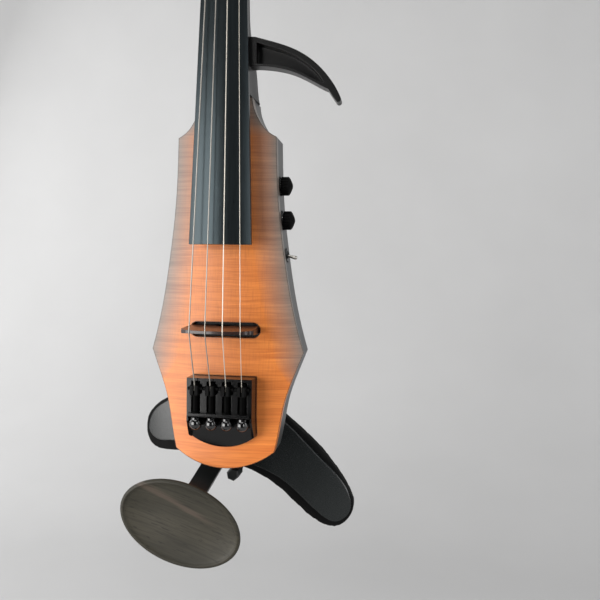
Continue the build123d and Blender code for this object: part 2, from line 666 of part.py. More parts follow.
for number, (bridge_x, nut_x, jaw_x, radius) in enumerate(zip(BRIDGE_X, NUT_X, JAW_X, STRING_R), 1):
    nut_y = STRING_SLOPE * SCALE + arc_drop(BRIDGE_ARC_R, abs(nut_x))
    bridge_y = arc_drop(BRIDGE_ARC_R, abs(bridge_x)) - STRING_SINK
    with BuildPart() as violin_string:
        with BuildLine() as run:
            Polyline(
                (nut_x, ANCHOR_BALL_Y, ANCHOR_Z + ANCHOR_T),
                (nut_x, ANCHOR_BALL_Y, ANCHOR_Z + 0.2),
                (nut_x, nut_y, SCALE + NUT_T), (nut_x, nut_y, SCALE),
                (bridge_x, bridge_y, BRIDGE_CROWN_HALF_T), (bridge_x, bridge_y, -BRIDGE_CROWN_HALF_T),
                (jaw_x, STRING_END_Y, JAW_FRONT_Z + 1.5), (jaw_x, STRING_END_Y, STRING_END_Z),
            )
        with BuildSketch(Plane(origin=run.line @ 0, z_dir=run.line % 0)):
            Circle(radius)
        sweep(transition=Transition.RIGHT)
        # ball end, a small brass drum that stops the string behind the anchor
        add_round(
            Plane(
                origin=(nut_x - BALL_HALF, ANCHOR_BALL_Y, ANCHOR_Z + ANCHOR_T + BALL_R),
                x_dir=(0, 1, 0), z_dir=(1, 0, 0),
            ),
            BALL_R, 2 * BALL_HALF,
        )
    save(violin_string, "string_" + str(number))


# ================= tuner =================
with BuildPart() as tuner_housing:
    with BuildSketch(front(TUNER_BASE_Y)):
        draw_tuner_outline()
    extrude(amount=TUNER_BASE_Y - FIN_Y)
    # outer upright corners
    corners = tuner_housing.edges().filter_by(Axis.Y).filter_by(lambda e: e.center().Z < -60)
    fillet(corners, radius=1.2)
    # four jaw slots
    with BuildSketch(front(SLOT_FLOOR_Y)):
        for x in JAW_X:
            with Locations((x, 0.5 * (SLOT_FRONT_Z + SLOT_BACK_Z))):
                Rectangle(2 * SLOT_HALF, SLOT_FRONT_Z - SLOT_BACK_Z)
    extrude(amount=SLOT_FLOOR_Y, mode=Mode.SUBTRACT)
    # dished apron behind the bulkhead, open upward, with side rails left standing
    with BuildSketch(Plane.YZ):
        with BuildLine():
            Polyline(
                (FIN_Y - 1, BULKHEAD_Z), (APRON_Y, BULKHEAD_Z), (APRON_Y, -66.0),
                (APRON_TAIL_Y, TUNER_APEX_Z - 1), (FIN_Y - 1, TUNER_APEX_Z - 1), close=True,
            )
        make_face()
    extrude(amount=TUNER_HALF - RAIL_T, both=True, mode=Mode.SUBTRACT)
    # side rails fall to the tail
    with BuildSketch(Plane.YZ):
        with BuildLine():
            Polyline(
                (FIN_Y - 1, -61.0), (FIN_Y, -61.0), (APRON_TAIL_Y, TUNER_APEX_Z),
                (APRON_TAIL_Y, TUNER_APEX_Z - 2), (FIN_Y - 1, TUNER_APEX_Z - 2), close=True,
            )
        make_face()
    extrude(amount=40, both=True, mode=Mode.SUBTRACT)
    # raised bar that carries the lead screws, rounded along its front edges
    with BuildSketch(Plane.YZ):
        with BuildLine():
            Polyline(
                (FIN_Y + 1, SLOT_BACK_Z), (BULKHEAD_TOP_Y, SLOT_BACK_Z), (BULKHEAD_TOP_Y, BULKHEAD_Z),
                (FIN_Y + 1, BULKHEAD_Z), close=True,
            )
        bar = make_face()
        fillet(bar.vertices().sort_by(Axis.Y)[:2], radius=0.8)
    extrude(amount=TUNER_HALF - RAIL_T, both=True)
    with BuildSketch(Plane.XY.offset(BULKHEAD_Z - 1)):
        for x in JAW_X:
            with Locations((x, SCREW_Y)):
                Circle(LEAD_R + LEAD_GAP)
    extrude(amount=SLOT_BACK_Z - BULKHEAD_Z + 2, mode=Mode.SUBTRACT)
    for x, z in TUNER_SCREWS:
        screw_hole = back_plane(x, z, TUNER_BASE_Y)
        bore_at(screw_hole, MACHINE_R, TUNER_BASE_Y - TUNER_SCREW_SEAT_Y + MACHINE_LENGTH + 0.5)
save(tuner_housing, "tuner_housing")

with BuildPart() as machine_screws:
    # tuner housing and horn are held by the same screw
    for x, z in TUNER_SCREWS:
        seat = back_plane(x, z, TUNER_SCREW_SEAT_Y)
        add_screw(seat, MACHINE_HEAD_R, MACHINE_HEAD_H, MACHINE_R, MACHINE_LENGTH)
    for z in HORN_SCREW_Z:
        add_screw(horn_seat(z), MACHINE_HEAD_R, MACHINE_HEAD_H, MACHINE_R, MACHINE_LENGTH)
save(machine_screws, "machine_screws")

for number, x in enumerate(JAW_X, 1):
    with BuildPart() as lead_screw:
        with BuildSketch(Plane(origin=(x, SCREW_Y, SLOT_FRONT_Z - LEAD_END_GAP), z_dir=(0, 0, -1))):
            Circle(LEAD_R)
        extrude(amount=SLOT_FRONT_Z - LEAD_END_GAP - BULKHEAD_Z + LEAD_TAIL)
        # retaining flange against the bulkhead
        with BuildSketch(Plane(origin=(x, SCREW_Y, SLOT_BACK_Z + 1.1), z_dir=(0, 0, -1))):
            Circle(FLANGE_R)
        extrude(amount=1.0)
    save(lead_screw, "lead_screw_" + str(number))

    with BuildPart() as tuner_knob:
        knob_z = BULKHEAD_Z - KNOB_GAP
        # ball on a short collar
        with BuildSketch(Plane.YZ.offset(x)):
            with BuildLine():
                ball_z = knob_z - KNOB_LENGTH + KNOB_R
                neck_z = ball_z + sqrt(KNOB_R ** 2 - KNOB_COLLAR_R ** 2)
                Line((SCREW_Y, knob_z), (SCREW_Y + KNOB_COLLAR_R, knob_z))
                Line((SCREW_Y + KNOB_COLLAR_R, knob_z), (SCREW_Y + KNOB_COLLAR_R, neck_z))
                ThreePointArc(
                    (SCREW_Y + KNOB_COLLAR_R, neck_z), (SCREW_Y + KNOB_R, ball_z),
                    (SCREW_Y, knob_z - KNOB_LENGTH),
                )
                Line((SCREW_Y, knob_z - KNOB_LENGTH), (SCREW_Y, knob_z))
            make_face()
        revolve(axis=Axis((x, SCREW_Y, 0), (0, 0, 1)))
        with BuildSketch(Plane(origin=(x, SCREW_Y, knob_z), z_dir=(0, 0, -1))):
            Circle(LEAD_R)
        extrude(amount=LEAD_TAIL - KNOB_GAP, mode=Mode.SUBTRACT)
    save(tuner_knob, "tuner_knob_" + str(number))

    with BuildPart() as jaw:
        with BuildSketch(Plane.XY.offset(JAW_FRONT_Z)):
            with BuildLine():
                Polyline(
                    (x - JAW_HALF, SLOT_FLOOR_Y - 0.1), (x + JAW_HALF, SLOT_FLOOR_Y - 0.1),
                    (x + JAW_HALF, JAW_TOP_Y + 0.8), (x + JAW_HALF - 0.8, JAW_TOP_Y),
                    (x - JAW_HALF + 0.8, JAW_TOP_Y), (x - JAW_HALF, JAW_TOP_Y + 0.8), close=True,
                )
            make_face()
        extrude(amount=-JAW_LENGTH)
        # wings that ride on the fins
        with BuildSketch(Plane.YZ.offset(x - JAW_WING)):
            with Locations((FIN_Y - WING_R - 0.1, JAW_FRONT_Z - 2.4)):
                Circle(WING_R)
        extrude(amount=2 * JAW_WING)
        # thread for the lead screw
        with BuildSketch(Plane.XY.offset(JAW_FRONT_Z + 1)):
            with Locations((x, SCREW_Y)):
                Circle(LEAD_R + LEAD_GAP)
        extrude(amount=-JAW_LENGTH - 2, mode=Mode.SUBTRACT)
        # saw cut that grips the string
        with BuildSketch(Plane.XY.offset(JAW_FRONT_Z + 1)):
            with Locations((x, 0.5 * (JAW_TOP_Y + STRING_END_Y))):
                Rectangle(1.1, STRING_END_Y - JAW_TOP_Y + 1.2)
        extrude(amount=-JAW_LENGTH - 2, mode=Mode.SUBTRACT)
    save(jaw, "jaw_" + str(number))


# ================= controls and electronics =================
SHAFT_R = 1.5
POT_R = 5.4
KNOB_OUT_R = 6.4
KNOB_OUT_LENGTH = 7.7
KNOB_SKIRT = 4.8
KNOB_FLUTES = 18
for name, z, seat in (("volume", VOLUME_Z, VOLUME_SEAT_X), ("tone", TONE_Z, TONE_SEAT_X)):
    with BuildPart() as pot:
        # round case inside the cavity, threaded bush through the wall
        add_round(control_plane(CAVITY_WALL_X - 9.0, z), POT_R - 1.0, 9.0)
        add_round(control_plane(CAVITY_WALL_X - 6.0, z), BUSH_R, seat + 2.0 - CAVITY_WALL_X + 6.0)
        bore_at(control_plane(seat + 2.0, z), SHAFT_R + SLIDE_GAP, seat + 6.0 - CAVITY_WALL_X)
        with BuildSketch(control_plane(CAVITY_WALL_X - 7.0, z)):
            with Locations((POT_R + 0.6, -2.5), (POT_R + 0.6, 0), (POT_R + 0.6, 2.5)):
                Rectangle(4.4, 1.0)
        extrude(amount=0.6)
    save(pot, name + "_pot")

    with BuildPart() as pot_shaft:
        add_round(control_plane(CAVITY_WALL_X - 3.0, z), SHAFT_R, seat + 7.0 - CAVITY_WALL_X + 3.0)
    save(pot_shaft, name + "_shaft")

    with BuildPart() as control_knob:
        face = seat + 2.4
        with BuildSketch(Plane.XY.offset(z)):
            with BuildLine():
                rim = (face + KNOB_SKIRT, CONTROL_Y + KNOB_OUT_R)
                crown = (face + KNOB_OUT_LENGTH, CONTROL_Y)
                Line((face, CONTROL_Y), (face, CONTROL_Y + KNOB_OUT_R))
                Line((face, CONTROL_Y + KNOB_OUT_R), rim)
                Spline(rim, (face + 6.9, CONTROL_Y + 2.9), crown, tangents=[(1, -0.9), (0, -1)])
                Line(crown, (face, CONTROL_Y))
            make_face()
        revolve(axis=Axis((0, CONTROL_Y, z), (1, 0, 0)))
        with BuildSketch(control_plane(face, z)):
            with PolarLocations(KNOB_OUT_R + 0.25, KNOB_FLUTES):
                Circle(0.65)
        extrude(amount=KNOB_SKIRT + 0.6, mode=Mode.SUBTRACT)
        with BuildSketch(control_plane(face, z)):
            Circle(SHAFT_R)
        extrude(amount=seat + 7.0 - face, mode=Mode.SUBTRACT)
    save(control_knob, name + "_knob")

with BuildPart() as control_nuts:
    for z, seat, nut_r, bush_r in (
        (VOLUME_Z, VOLUME_SEAT_X, 5.6, BUSH_R),
        (TONE_Z, TONE_SEAT_X, 5.6, BUSH_R),
        (TOGGLE_Z, TOGGLE_SEAT_X, 4.9, TOGGLE_BUSH_R),
    ):
        with BuildSketch(control_plane(seat, z)):
            RegularPolygon(nut_r, 6)
            Circle(bush_r, mode=Mode.SUBTRACT)
        extrude(amount=1.8)
save(control_nuts, "control_nuts")

PIVOT_X = TOGGLE_SEAT_X - 1.0
TOGGLE_MOUTH_X = TOGGLE_SEAT_X + 2.2
SOCKET_R = 1.66
BALL_PIVOT_R = 1.55
PIVOT_PIN_R = 0.45
PIVOT_PIN_HALF = 2.4
LEVER_REACH = 8.4
LEVER_TIP_R = 1.3
LEVER_ROOT_R = 0.8
TOGGLE_CASE_X = 33.2
LEVER_TILT = 13.0
with BuildPart() as toggle_switch:
    with BuildSketch(control_plane(TOGGLE_CASE_X, TOGGLE_Z)):
        Rectangle(7.6, 7.0)
    extrude(amount=-9.0)
    add_round(control_plane(TOGGLE_CASE_X, TOGGLE_Z), TOGGLE_BUSH_R, TOGGLE_MOUTH_X - TOGGLE_CASE_X)
    # socket and flared mouth for the lever
    bore_at(control_plane(TOGGLE_MOUTH_X, TOGGLE_Z), SOCKET_R + SLIDE_GAP, TOGGLE_MOUTH_X - PIVOT_X)
    with BuildSketch(Plane.XY.offset(TOGGLE_Z)):
        with BuildLine():
            ThreePointArc(
                (PIVOT_X - SOCKET_R, CONTROL_Y),
                (PIVOT_X - SOCKET_R * cos(radians(45)), CONTROL_Y + SOCKET_R * sin(radians(45))),
                (PIVOT_X, CONTROL_Y + SOCKET_R),
            )
            Line((PIVOT_X, CONTROL_Y + SOCKET_R), (PIVOT_X, CONTROL_Y))
            Line((PIVOT_X, CONTROL_Y), (PIVOT_X - SOCKET_R, CONTROL_Y))
        make_face()
    revolve(axis=Axis((0, CONTROL_Y, TOGGLE_Z), (1, 0, 0)), mode=Mode.SUBTRACT)
    with BuildSketch(Plane.XY.offset(TOGGLE_Z)):
        with BuildLine():
            Polyline(
                (PIVOT_X - 5.6, CONTROL_Y), (PIVOT_X - 5.6, CONTROL_Y + 2.3),
                (PIVOT_X - 1.1, CONTROL_Y + 1.25), (PIVOT_X - 1.1, CONTROL_Y), close=True,
            )
        make_face()
    revolve(axis=Axis((0, CONTROL_Y, TOGGLE_Z), (1, 0, 0)), mode=Mode.SUBTRACT)
    with BuildSketch(Plane.XY.offset(TOGGLE_Z)):
        with BuildLine():
            Polyline(
                (PIVOT_X + 0.4, CONTROL_Y), (PIVOT_X + 0.4, CONTROL_Y + 1.68),
                (PIVOT_X + 3.3, CONTROL_Y + 2.2), (PIVOT_X + 3.3, CONTROL_Y), close=True,
            )
        make_face()
    revolve(axis=Axis((0, CONTROL_Y, TOGGLE_Z), (1, 0, 0)), mode=Mode.SUBTRACT)
    # pivot pin across the socket
    pin_plane = Plane.XZ.offset(-CONTROL_Y)
    with BuildSketch(pin_plane):
        with Locations((PIVOT_X, TOGGLE_Z)):
            Circle(PIVOT_PIN_R)
    extrude(amount=PIVOT_PIN_HALF, both=True)
    # solder lugs
    with BuildSketch(control_plane(24.4, TOGGLE_Z)):
        with Locations((2.0, -2.4), (2.0, 0), (2.0, 2.4)):
            Rectangle(1.6, 0.6)
    extrude(amount=-3.0)
save(toggle_switch, "toggle_switch")

lever_axis = (cos(radians(LEVER_TILT)), 0, -sin(radians(LEVER_TILT)))
lever_plane = Plane(origin=(PIVOT_X, CONTROL_Y, TOGGLE_Z), x_dir=(0, 1, 0), z_dir=lever_axis)
with BuildPart() as toggle_lever:
    # pivot ball, short tail inside the case, tapered bat with a round tip
    with Locations(lever_plane):
        Sphere(BALL_PIVOT_R)
    with Locations(lever_plane.offset(LEVER_REACH)):
        Sphere(LEVER_TIP_R)
    add_round(lever_plane, LEVER_ROOT_R, -4.0)
    loft([
        disc_at(lever_plane.offset(0.6), LEVER_ROOT_R),
        disc_at(lever_plane.offset(LEVER_REACH), LEVER_TIP_R - 0.02),
    ])
    # hole for the pivot pin
    with BuildSketch(pin_plane):
        with Locations((PIVOT_X, TOGGLE_Z)):
            Circle(PIVOT_PIN_R + SLIDE_GAP)
    extrude(amount=PIVOT_PIN_HALF, both=True, mode=Mode.SUBTRACT)
save(toggle_lever, "toggle_lever")

BOARD_Y = 51.5
with BuildPart() as preamp_board:
    with BuildSketch(front(BOARD_Y)):
        with Locations((4.0, 86.0)):
            RectangleRounded(24.0, 34.0, 1.5)
        with Locations((-4.5, 101.0), (12.5, 101.0), (-4.5, 71.0), (12.5, 71.0)):
            Circle(1.1, mode=Mode.SUBTRACT)
    extrude(amount=1.6)
    # components stand on the board's inner face
    with BuildSketch(front(BOARD_Y - 1.6)):
        with Locations((1.0, 92.0)):
            Rectangle(6.0, 5.0)
        with Locations((10.0, 92.0), (10.0, 80.0)):
            Circle(2.4)
        with Locations((1.0, 80.0)):
            Rectangle(4.0, 7.0)
        with Locations((4.0, 103.5)):
            Rectangle(9.0, 4.0)
    extrude(amount=3.4)
save(preamp_board, "preamp_board")

with BuildPart() as storage_capacitor:
    with BuildSketch(Plane.XY.offset(48.5)):
        with Locations((4.0, 46.5)):
            Circle(6.2)
    extrude(amount=18.0)
    fillet(storage_capacitor.edges().filter_by(GeomType.CIRCLE), radius=0.8)
save(storage_capacitor, "storage_capacitor")

with BuildPart() as output_jack:
    # barrel socket with its bezel flange on the bass flank
    add_round(jack_plane(JACK_SEAT_X), JACK_BARREL_R - 0.1, -JACK_LENGTH + 2)
    add_round(jack_plane(JACK_SEAT_X), JACK_BEZEL_R, JACK_BEZEL_T)
    chamfer(output_jack.faces().sort_by(Axis.X)[0].outer_wire().edges(), length=0.5)
    bore_at(jack_plane(JACK_SEAT_X - JACK_BEZEL_T), PLUG_BORE_R, JACK_LENGTH - 4)
save(output_jack, "output_jack")

WIRE_R = 0.55
with BuildPart() as wiring:
    runs = (
        # pickup lead, from the bridge well through the core to the board
        ((20.0, 40.0, 5.2), (20.0, 40.0, 50.0), (12.0, 47.0, 66.6), (12.0, 47.0, 68.5)),
        # output lead, from the jack through the core to the board
        ((-6.0, 46.0, -44.0), (-6.0, 46.0, 50.0), (-6.0, 49.0, 66.0), (-6.0, 49.0, 84.0)),
        # volume and tone leads
        ((21.0, 48.0, VOLUME_Z - 4.5), (17.0, 48.6, VOLUME_Z - 2.5), (13.6, 49.2, VOLUME_Z)),
        ((21.0, 48.0, TONE_Z + 4.5), (17.0, 48.6, TONE_Z + 2.5), (13.6, 49.2, TONE_Z)),
    )
    for points in runs:
        with BuildLine() as run:
            Polyline(*points)
        with BuildSketch(Plane(origin=run.line @ 0, z_dir=run.line % 0)):
            Circle(WIRE_R)
        sweep(path=run.line, transition=Transition.RIGHT)
save(wiring, "wiring")


# ================= horn on the neck heel =================
HORN_OUTER = (
    (20.6, 193.4), (34.7, 189.2), (48.0, 184.0), (58.6, 177.2),
    (68.0, 167.8), (74.5, 158.4), (77.4, 152.4),
)
HORN_TIP = (76.6, 150.2)
HORN_TIP_UNDER = ((74.4, 150.4), (71.3, 154.8), (68.9, 158.5))
HORN_UNDER = (
    (65.8, 159.9), (60.3, 162.9), (54.9, 165.9), (44.1, 170.7), (33.2, 173.4), (22.0, HORN_BASE_Z[0]),
)
HOLLOW_TIP = (66.0, 162.4)
HOLLOW_OUTER = (
    (HORN_HOLLOW_X, 189.8), (33.8, 185.8), (46.4, 180.7), (56.0, 174.2), (61.2, 169.4), HOLLOW_TIP,
)
HOLLOW_UNDER = (
    HOLLOW_TIP, (61.0, 164.3), (55.5, 167.2), (44.6, 172.1), (33.5, 174.8), (HORN_HOLLOW_X, 176.0),
)
with BuildPart() as horn:
    with BuildSketch(front(HORN_Y[1])):
        with BuildLine():
            Spline(*HORN_OUTER)
            ThreePointArc(HORN_OUTER[-1], HORN_TIP, HORN_TIP_UNDER[0])
            Spline(*HORN_TIP_UNDER)
            Line(HORN_TIP_UNDER[-1], HORN_UNDER[0])
            Spline(*HORN_UNDER)
            Line(HORN_UNDER[-1], (HORN_BASE_X, HORN_BASE_Z[0]))
            Line((HORN_BASE_X, HORN_BASE_Z[0]), (HORN_BASE_X, HORN_BASE_Z[1]))
            Line((HORN_BASE_X, HORN_BASE_Z[1]), HORN_OUTER[0])
        make_face()
    extrude(amount=HORN_Y[1] - HORN_Y[0])
    # hollow between the outer rim and the thin lower lip, with a web behind it
    with BuildSketch(front(HORN_Y[1] - HORN_WEB_T)):
        with BuildLine():
            Spline(*HOLLOW_OUTER)
            Spline(*HOLLOW_UNDER)
            Line(HOLLOW_UNDER[-1], HOLLOW_OUTER[0])
        make_face()
    extrude(amount=20, mode=Mode.SUBTRACT)
    for z in HORN_SCREW_Z:
        add_round(
            Plane(origin=(HORN_BASE_X, HORN_SCREW_Y, z), x_dir=(0, 1, 0), z_dir=(1, 0, 0)),
            MACHINE_R, MACHINE_LENGTH + HORN_HEAD_SEAT_X - HORN_BASE_X + 0.2, Mode.SUBTRACT,
        )
save(horn, "horn")


# ================= chin rest =================
PIVOT_SHAFT_R = 3.0
BRACKET_T = 3.0
ARM_HALF = 7.6
arm_across = (cos(radians(ARM_DEG)), 0, -sin(radians(ARM_DEG)))
arm_along = (-sin(radians(ARM_DEG)), 0, -cos(radians(ARM_DEG)))
arm_side = Plane(
    origin=(ARM_PIVOT[0], 0, ARM_PIVOT[1]), x_dir=arm_along,
    z_dir=(-arm_across[0], 0, -arm_across[2]),
)
arm_front = Plane(origin=(ARM_PIVOT[0], 70.0, ARM_PIVOT[1]), x_dir=arm_across, z_dir=(0, -1, 0))
TILT_PIN_S = 37.0
TILT_PIN_Y = 18.5
TILT_PIN_R = 1.5
PIN_LENGTH = 15.0
TILT_SCREW_X = 5.0
TILT_SCREW_S = 8.5
TILT_SCREW_R = 1.3
FOOT_T = 2.0
KNUCKLE_R = 3.0
EAR_R = 2.9
LOCK_BOLT_R = 1.5

with BuildPart() as chin_bracket:
    with BuildSketch(front(ARM_Y - 0.1)):
        with BuildLine():
            Polyline(
                (-24.5, -75.2), (-0.2, -75.2), (-0.2, -88.0), (LOCK[0] + 3.5, -94.0),
                (LOCK[0] + 3.5, LOCK[1] - 2.5), (LOCK[0] - 3.5, LOCK[1] - 2.5),
                (LOCK[0] - 3.5, -97.0), (-14.0, -93.0), (-24.5, -90.0), close=True,
            )
        make_face()
        fillet(vertices(), radius=1.5)
    extrude(amount=ARM_Y - 0.1 - BACK_Y)
    bore_at(back_plane(LOCK[0], LOCK[1], ARM_Y), LOCK_BOLT_R + HOLE_GAP, 6)
    bore_at(back_plane(ARM_PIVOT[0], ARM_PIVOT[1], ARM_Y), 2.5, 6)
    for x, z in BRACKET_SCREWS:
        bore_at(back_plane(x, z, ARM_Y), WOOD_SCREW_R + HOLE_GAP, 6)
        bore_at(back_plane(x, z, ARM_Y - 0.1), WOOD_HEAD_R + 0.1, WOOD_HEAD_H + 0.1)
save(chin_bracket, "chin_bracket")

with BuildPart() as chin_pivot_screw:
    pivot_seat = back_plane(ARM_PIVOT[0], ARM_PIVOT[1], ARM_Y + ARM_T + 0.15)
    add_round(pivot_seat, 5.0, 1.8)
    add_round(pivot_seat, PIVOT_SHAFT_R, -ARM_T - 0.25)
    add_round(pivot_seat.offset(-ARM_T - 0.25), 2.5, -7.0)
    with BuildSketch(pivot_seat.offset(1.8)):
        RegularPolygon(1.9, 6)
    extrude(amount=-1.0, mode=Mode.SUBTRACT)
save(chin_pivot_screw, "chin_pivot_screw")

LOCK_SLOT_HALF = 1.7
LOCK_TIP_Y = 47.0
THUMB_NUT_R = 4.6
THUMB_NUT_TURN = 20.0
THUMB_NUT_LENGTH = 14.0
LOCK_SLOT_START = -67.7
LOCK_SLOT_SWEEP = 22.4
LOCK_REACH = sqrt((LOCK[0] - ARM_PIVOT[0]) ** 2 + (LOCK[1] - ARM_PIVOT[1]) ** 2)
with BuildPart() as chin_arm:
    # bar that runs out behind the tail, rises past it and levels off under the plate
    with BuildSketch(arm_side):
        with BuildLine():
            Polyline(
                (-9.0, -ARM_Y - ARM_T), (15.0, -ARM_Y - ARM_T), (27.2, -22.5), (30.0, -TILT_PIN_Y - 1.5),
                (TILT_PIN_S - 3.3, -TILT_PIN_Y - 1.5), (TILT_PIN_S - 3.3, -TILT_PIN_Y + 1.5),
                (28.4, -TILT_PIN_Y + 1.5), (24.3, -22.0), (12.8, -ARM_Y), (-9.0, -ARM_Y), close=True,
            )
        make_face()
    extrude(amount=ARM_HALF, both=True)
    with BuildSketch(arm_front):
        with BuildLine():
            Line((-ARM_HALF, 0), (-ARM_HALF + 0.9, -45))
            Line((-ARM_HALF + 0.9, -45), (ARM_HALF - 0.9, -45))
            Line((ARM_HALF - 0.9, -45), (ARM_HALF, 0))
            ThreePointArc((ARM_HALF, 0), (0, ARM_HALF), (-ARM_HALF, 0))
        make_face()
    extrude(amount=70, mode=Mode.INTERSECT)
    # knuckle for the tilt pin
    with BuildSketch(arm_side):
        with Locations((TILT_PIN_S, -TILT_PIN_Y)):
            Circle(KNUCKLE_R)
    extrude(amount=4.0, both=True)
    with BuildSketch(arm_side):
        with Locations((TILT_PIN_S - 2.2, -TILT_PIN_Y)):
            Rectangle(4.4, 3.0)
    extrude(amount=4.0, both=True)
    # finger with the arc slot for the lock bolt
    with BuildSketch(front(ARM_Y + ARM_T)):
        with BuildLine():
            Polyline(
                (-8.0, -80.0), (LOCK[0] + 3.4, -93.0), (LOCK[0] + 5.4, LOCK[1] + 3.0),
                (LOCK[0] + 1.6, LOCK[1] - 2.4), (LOCK[0] - 4.6, LOCK[1] - 5.6),
                (LOCK[0] - 5.2, -98.0), (-9.0, -90.0), close=True,
            )
        make_face()
        fillet(vertices(), radius=1.0)
    extrude(amount=ARM_T)
    with BuildSketch(front(ARM_Y + ARM_T)):
        with BuildLine():
            outer = CenterArc(ARM_PIVOT, LOCK_REACH + LOCK_SLOT_HALF, LOCK_SLOT_START, LOCK_SLOT_SWEEP)
            inner = CenterArc(ARM_PIVOT, LOCK_REACH - LOCK_SLOT_HALF, LOCK_SLOT_START, LOCK_SLOT_SWEEP)
            Line(outer @ 0, inner @ 0)
            Line(outer @ 1, inner @ 1)
        make_face()
    extrude(amount=ARM_T, mode=Mode.SUBTRACT)
    bore_at(back_plane(ARM_PIVOT[0], ARM_PIVOT[1], ARM_Y + ARM_T + 1), PIVOT_SHAFT_R + SLIDE_GAP, 6)
    with BuildSketch(arm_side):
        with Locations((TILT_PIN_S, -TILT_PIN_Y)):
            Circle(TILT_PIN_R)
    extrude(amount=10, both=True, mode=Mode.SUBTRACT)
save(chin_arm, "chin_arm")

with BuildPart() as lock_bolt:
    bolt_seat = back_plane(LOCK[0], LOCK[1], ARM_Y + ARM_T + 0.1)
    add_round(bolt_seat, 3.0, 1.6)
    add_round(bolt_seat, LOCK_BOLT_R, -(ARM_Y + ARM_T + 0.1 - LOCK_TIP_Y))
save(lock_bolt, "lock_bolt")

with BuildPart() as lock_thumb_nut:
    # six-sided so that it turns by hand, with its outer end chamfered
    nut_face = back_plane(LOCK[0], LOCK[1], BACK_Y)
    with BuildSketch(nut_face):
        RegularPolygon(THUMB_NUT_R, 6, rotation=THUMB_NUT_TURN)
    extrude(amount=-THUMB_NUT_LENGTH)
    chamfer(lock_thumb_nut.faces().sort_by(Axis.Y)[0].edges(), length=0.7)
    bore_at(nut_face, LOCK_BOLT_R, BACK_Y - LOCK_TIP_Y)
save(lock_thumb_nut, "lock_thumb_nut")

with BuildPart() as tilt_pin:
    with BuildSketch(arm_side):
        with Locations((TILT_PIN_S, -TILT_PIN_Y)):
            Circle(TILT_PIN_R)
    extrude(amount=0.5 * PIN_LENGTH, both=True)
save(tilt_pin, "tilt_pin")

with BuildPart() as tilt_bracket:
    # foot plate under the wooden rest with two ears on the pin
    with BuildSketch(arm_side):
        with BuildLine():
            Polyline(
                (TILT_PIN_S - EAR_R, -TILT_PIN_Y), (TILT_PIN_S - EAR_R, -CHIN_BOTTOM_Y - FOOT_T),
                (TILT_PIN_S - 4.0, -CHIN_BOTTOM_Y - FOOT_T), (TILT_PIN_S - 4.0, -CHIN_BOTTOM_Y),
                (TILT_PIN_S + 12.0, -CHIN_BOTTOM_Y), (TILT_PIN_S + 12.0, -CHIN_BOTTOM_Y - FOOT_T),
                (TILT_PIN_S + EAR_R, -CHIN_BOTTOM_Y - FOOT_T), (TILT_PIN_S + EAR_R, -TILT_PIN_Y), close=True,
            )
        make_face()
        with Locations((TILT_PIN_S, -TILT_PIN_Y)):
            Circle(EAR_R)
    extrude(amount=0.5 * PIN_LENGTH, both=True)
    # gap for the arm's knuckle
    with BuildSketch(arm_side):
        with Locations((TILT_PIN_S, -TILT_PIN_Y - 1.0)):
            Rectangle(20, 2 * (TILT_PIN_Y + 1.0 - CHIN_BOTTOM_Y - FOOT_T))
    extrude(amount=4.1, both=True, mode=Mode.SUBTRACT)
    with BuildSketch(arm_side):
        with Locations((TILT_PIN_S, -TILT_PIN_Y)):
            Circle(TILT_PIN_R + SLIDE_GAP)
    extrude(amount=10, both=True, mode=Mode.SUBTRACT)
    for across in (-TILT_SCREW_X, TILT_SCREW_X):
        spot = arm_front * Location((across, -TILT_PIN_S - TILT_SCREW_S, 70.0 - CHIN_BOTTOM_Y - FOOT_T))
        hole = Plane(spot.position, x_dir=arm_across, z_dir=(0, -1, 0))
        add_round(hole, TILT_SCREW_R + HOLE_GAP, 4.0, Mode.SUBTRACT)
save(tilt_bracket, "tilt_bracket")

with BuildPart() as tilt_screws:
    for across in (-TILT_SCREW_X, TILT_SCREW_X):
        spot = arm_front * Location((across, -TILT_PIN_S - TILT_SCREW_S, 70.0 - CHIN_BOTTOM_Y - FOOT_T))
        add_screw(Plane(spot.position, x_dir=arm_across, z_dir=(0, 1, 0)), 2.4, 1.3, TILT_SCREW_R, 7.0)
save(tilt_screws, "tilt_screws")

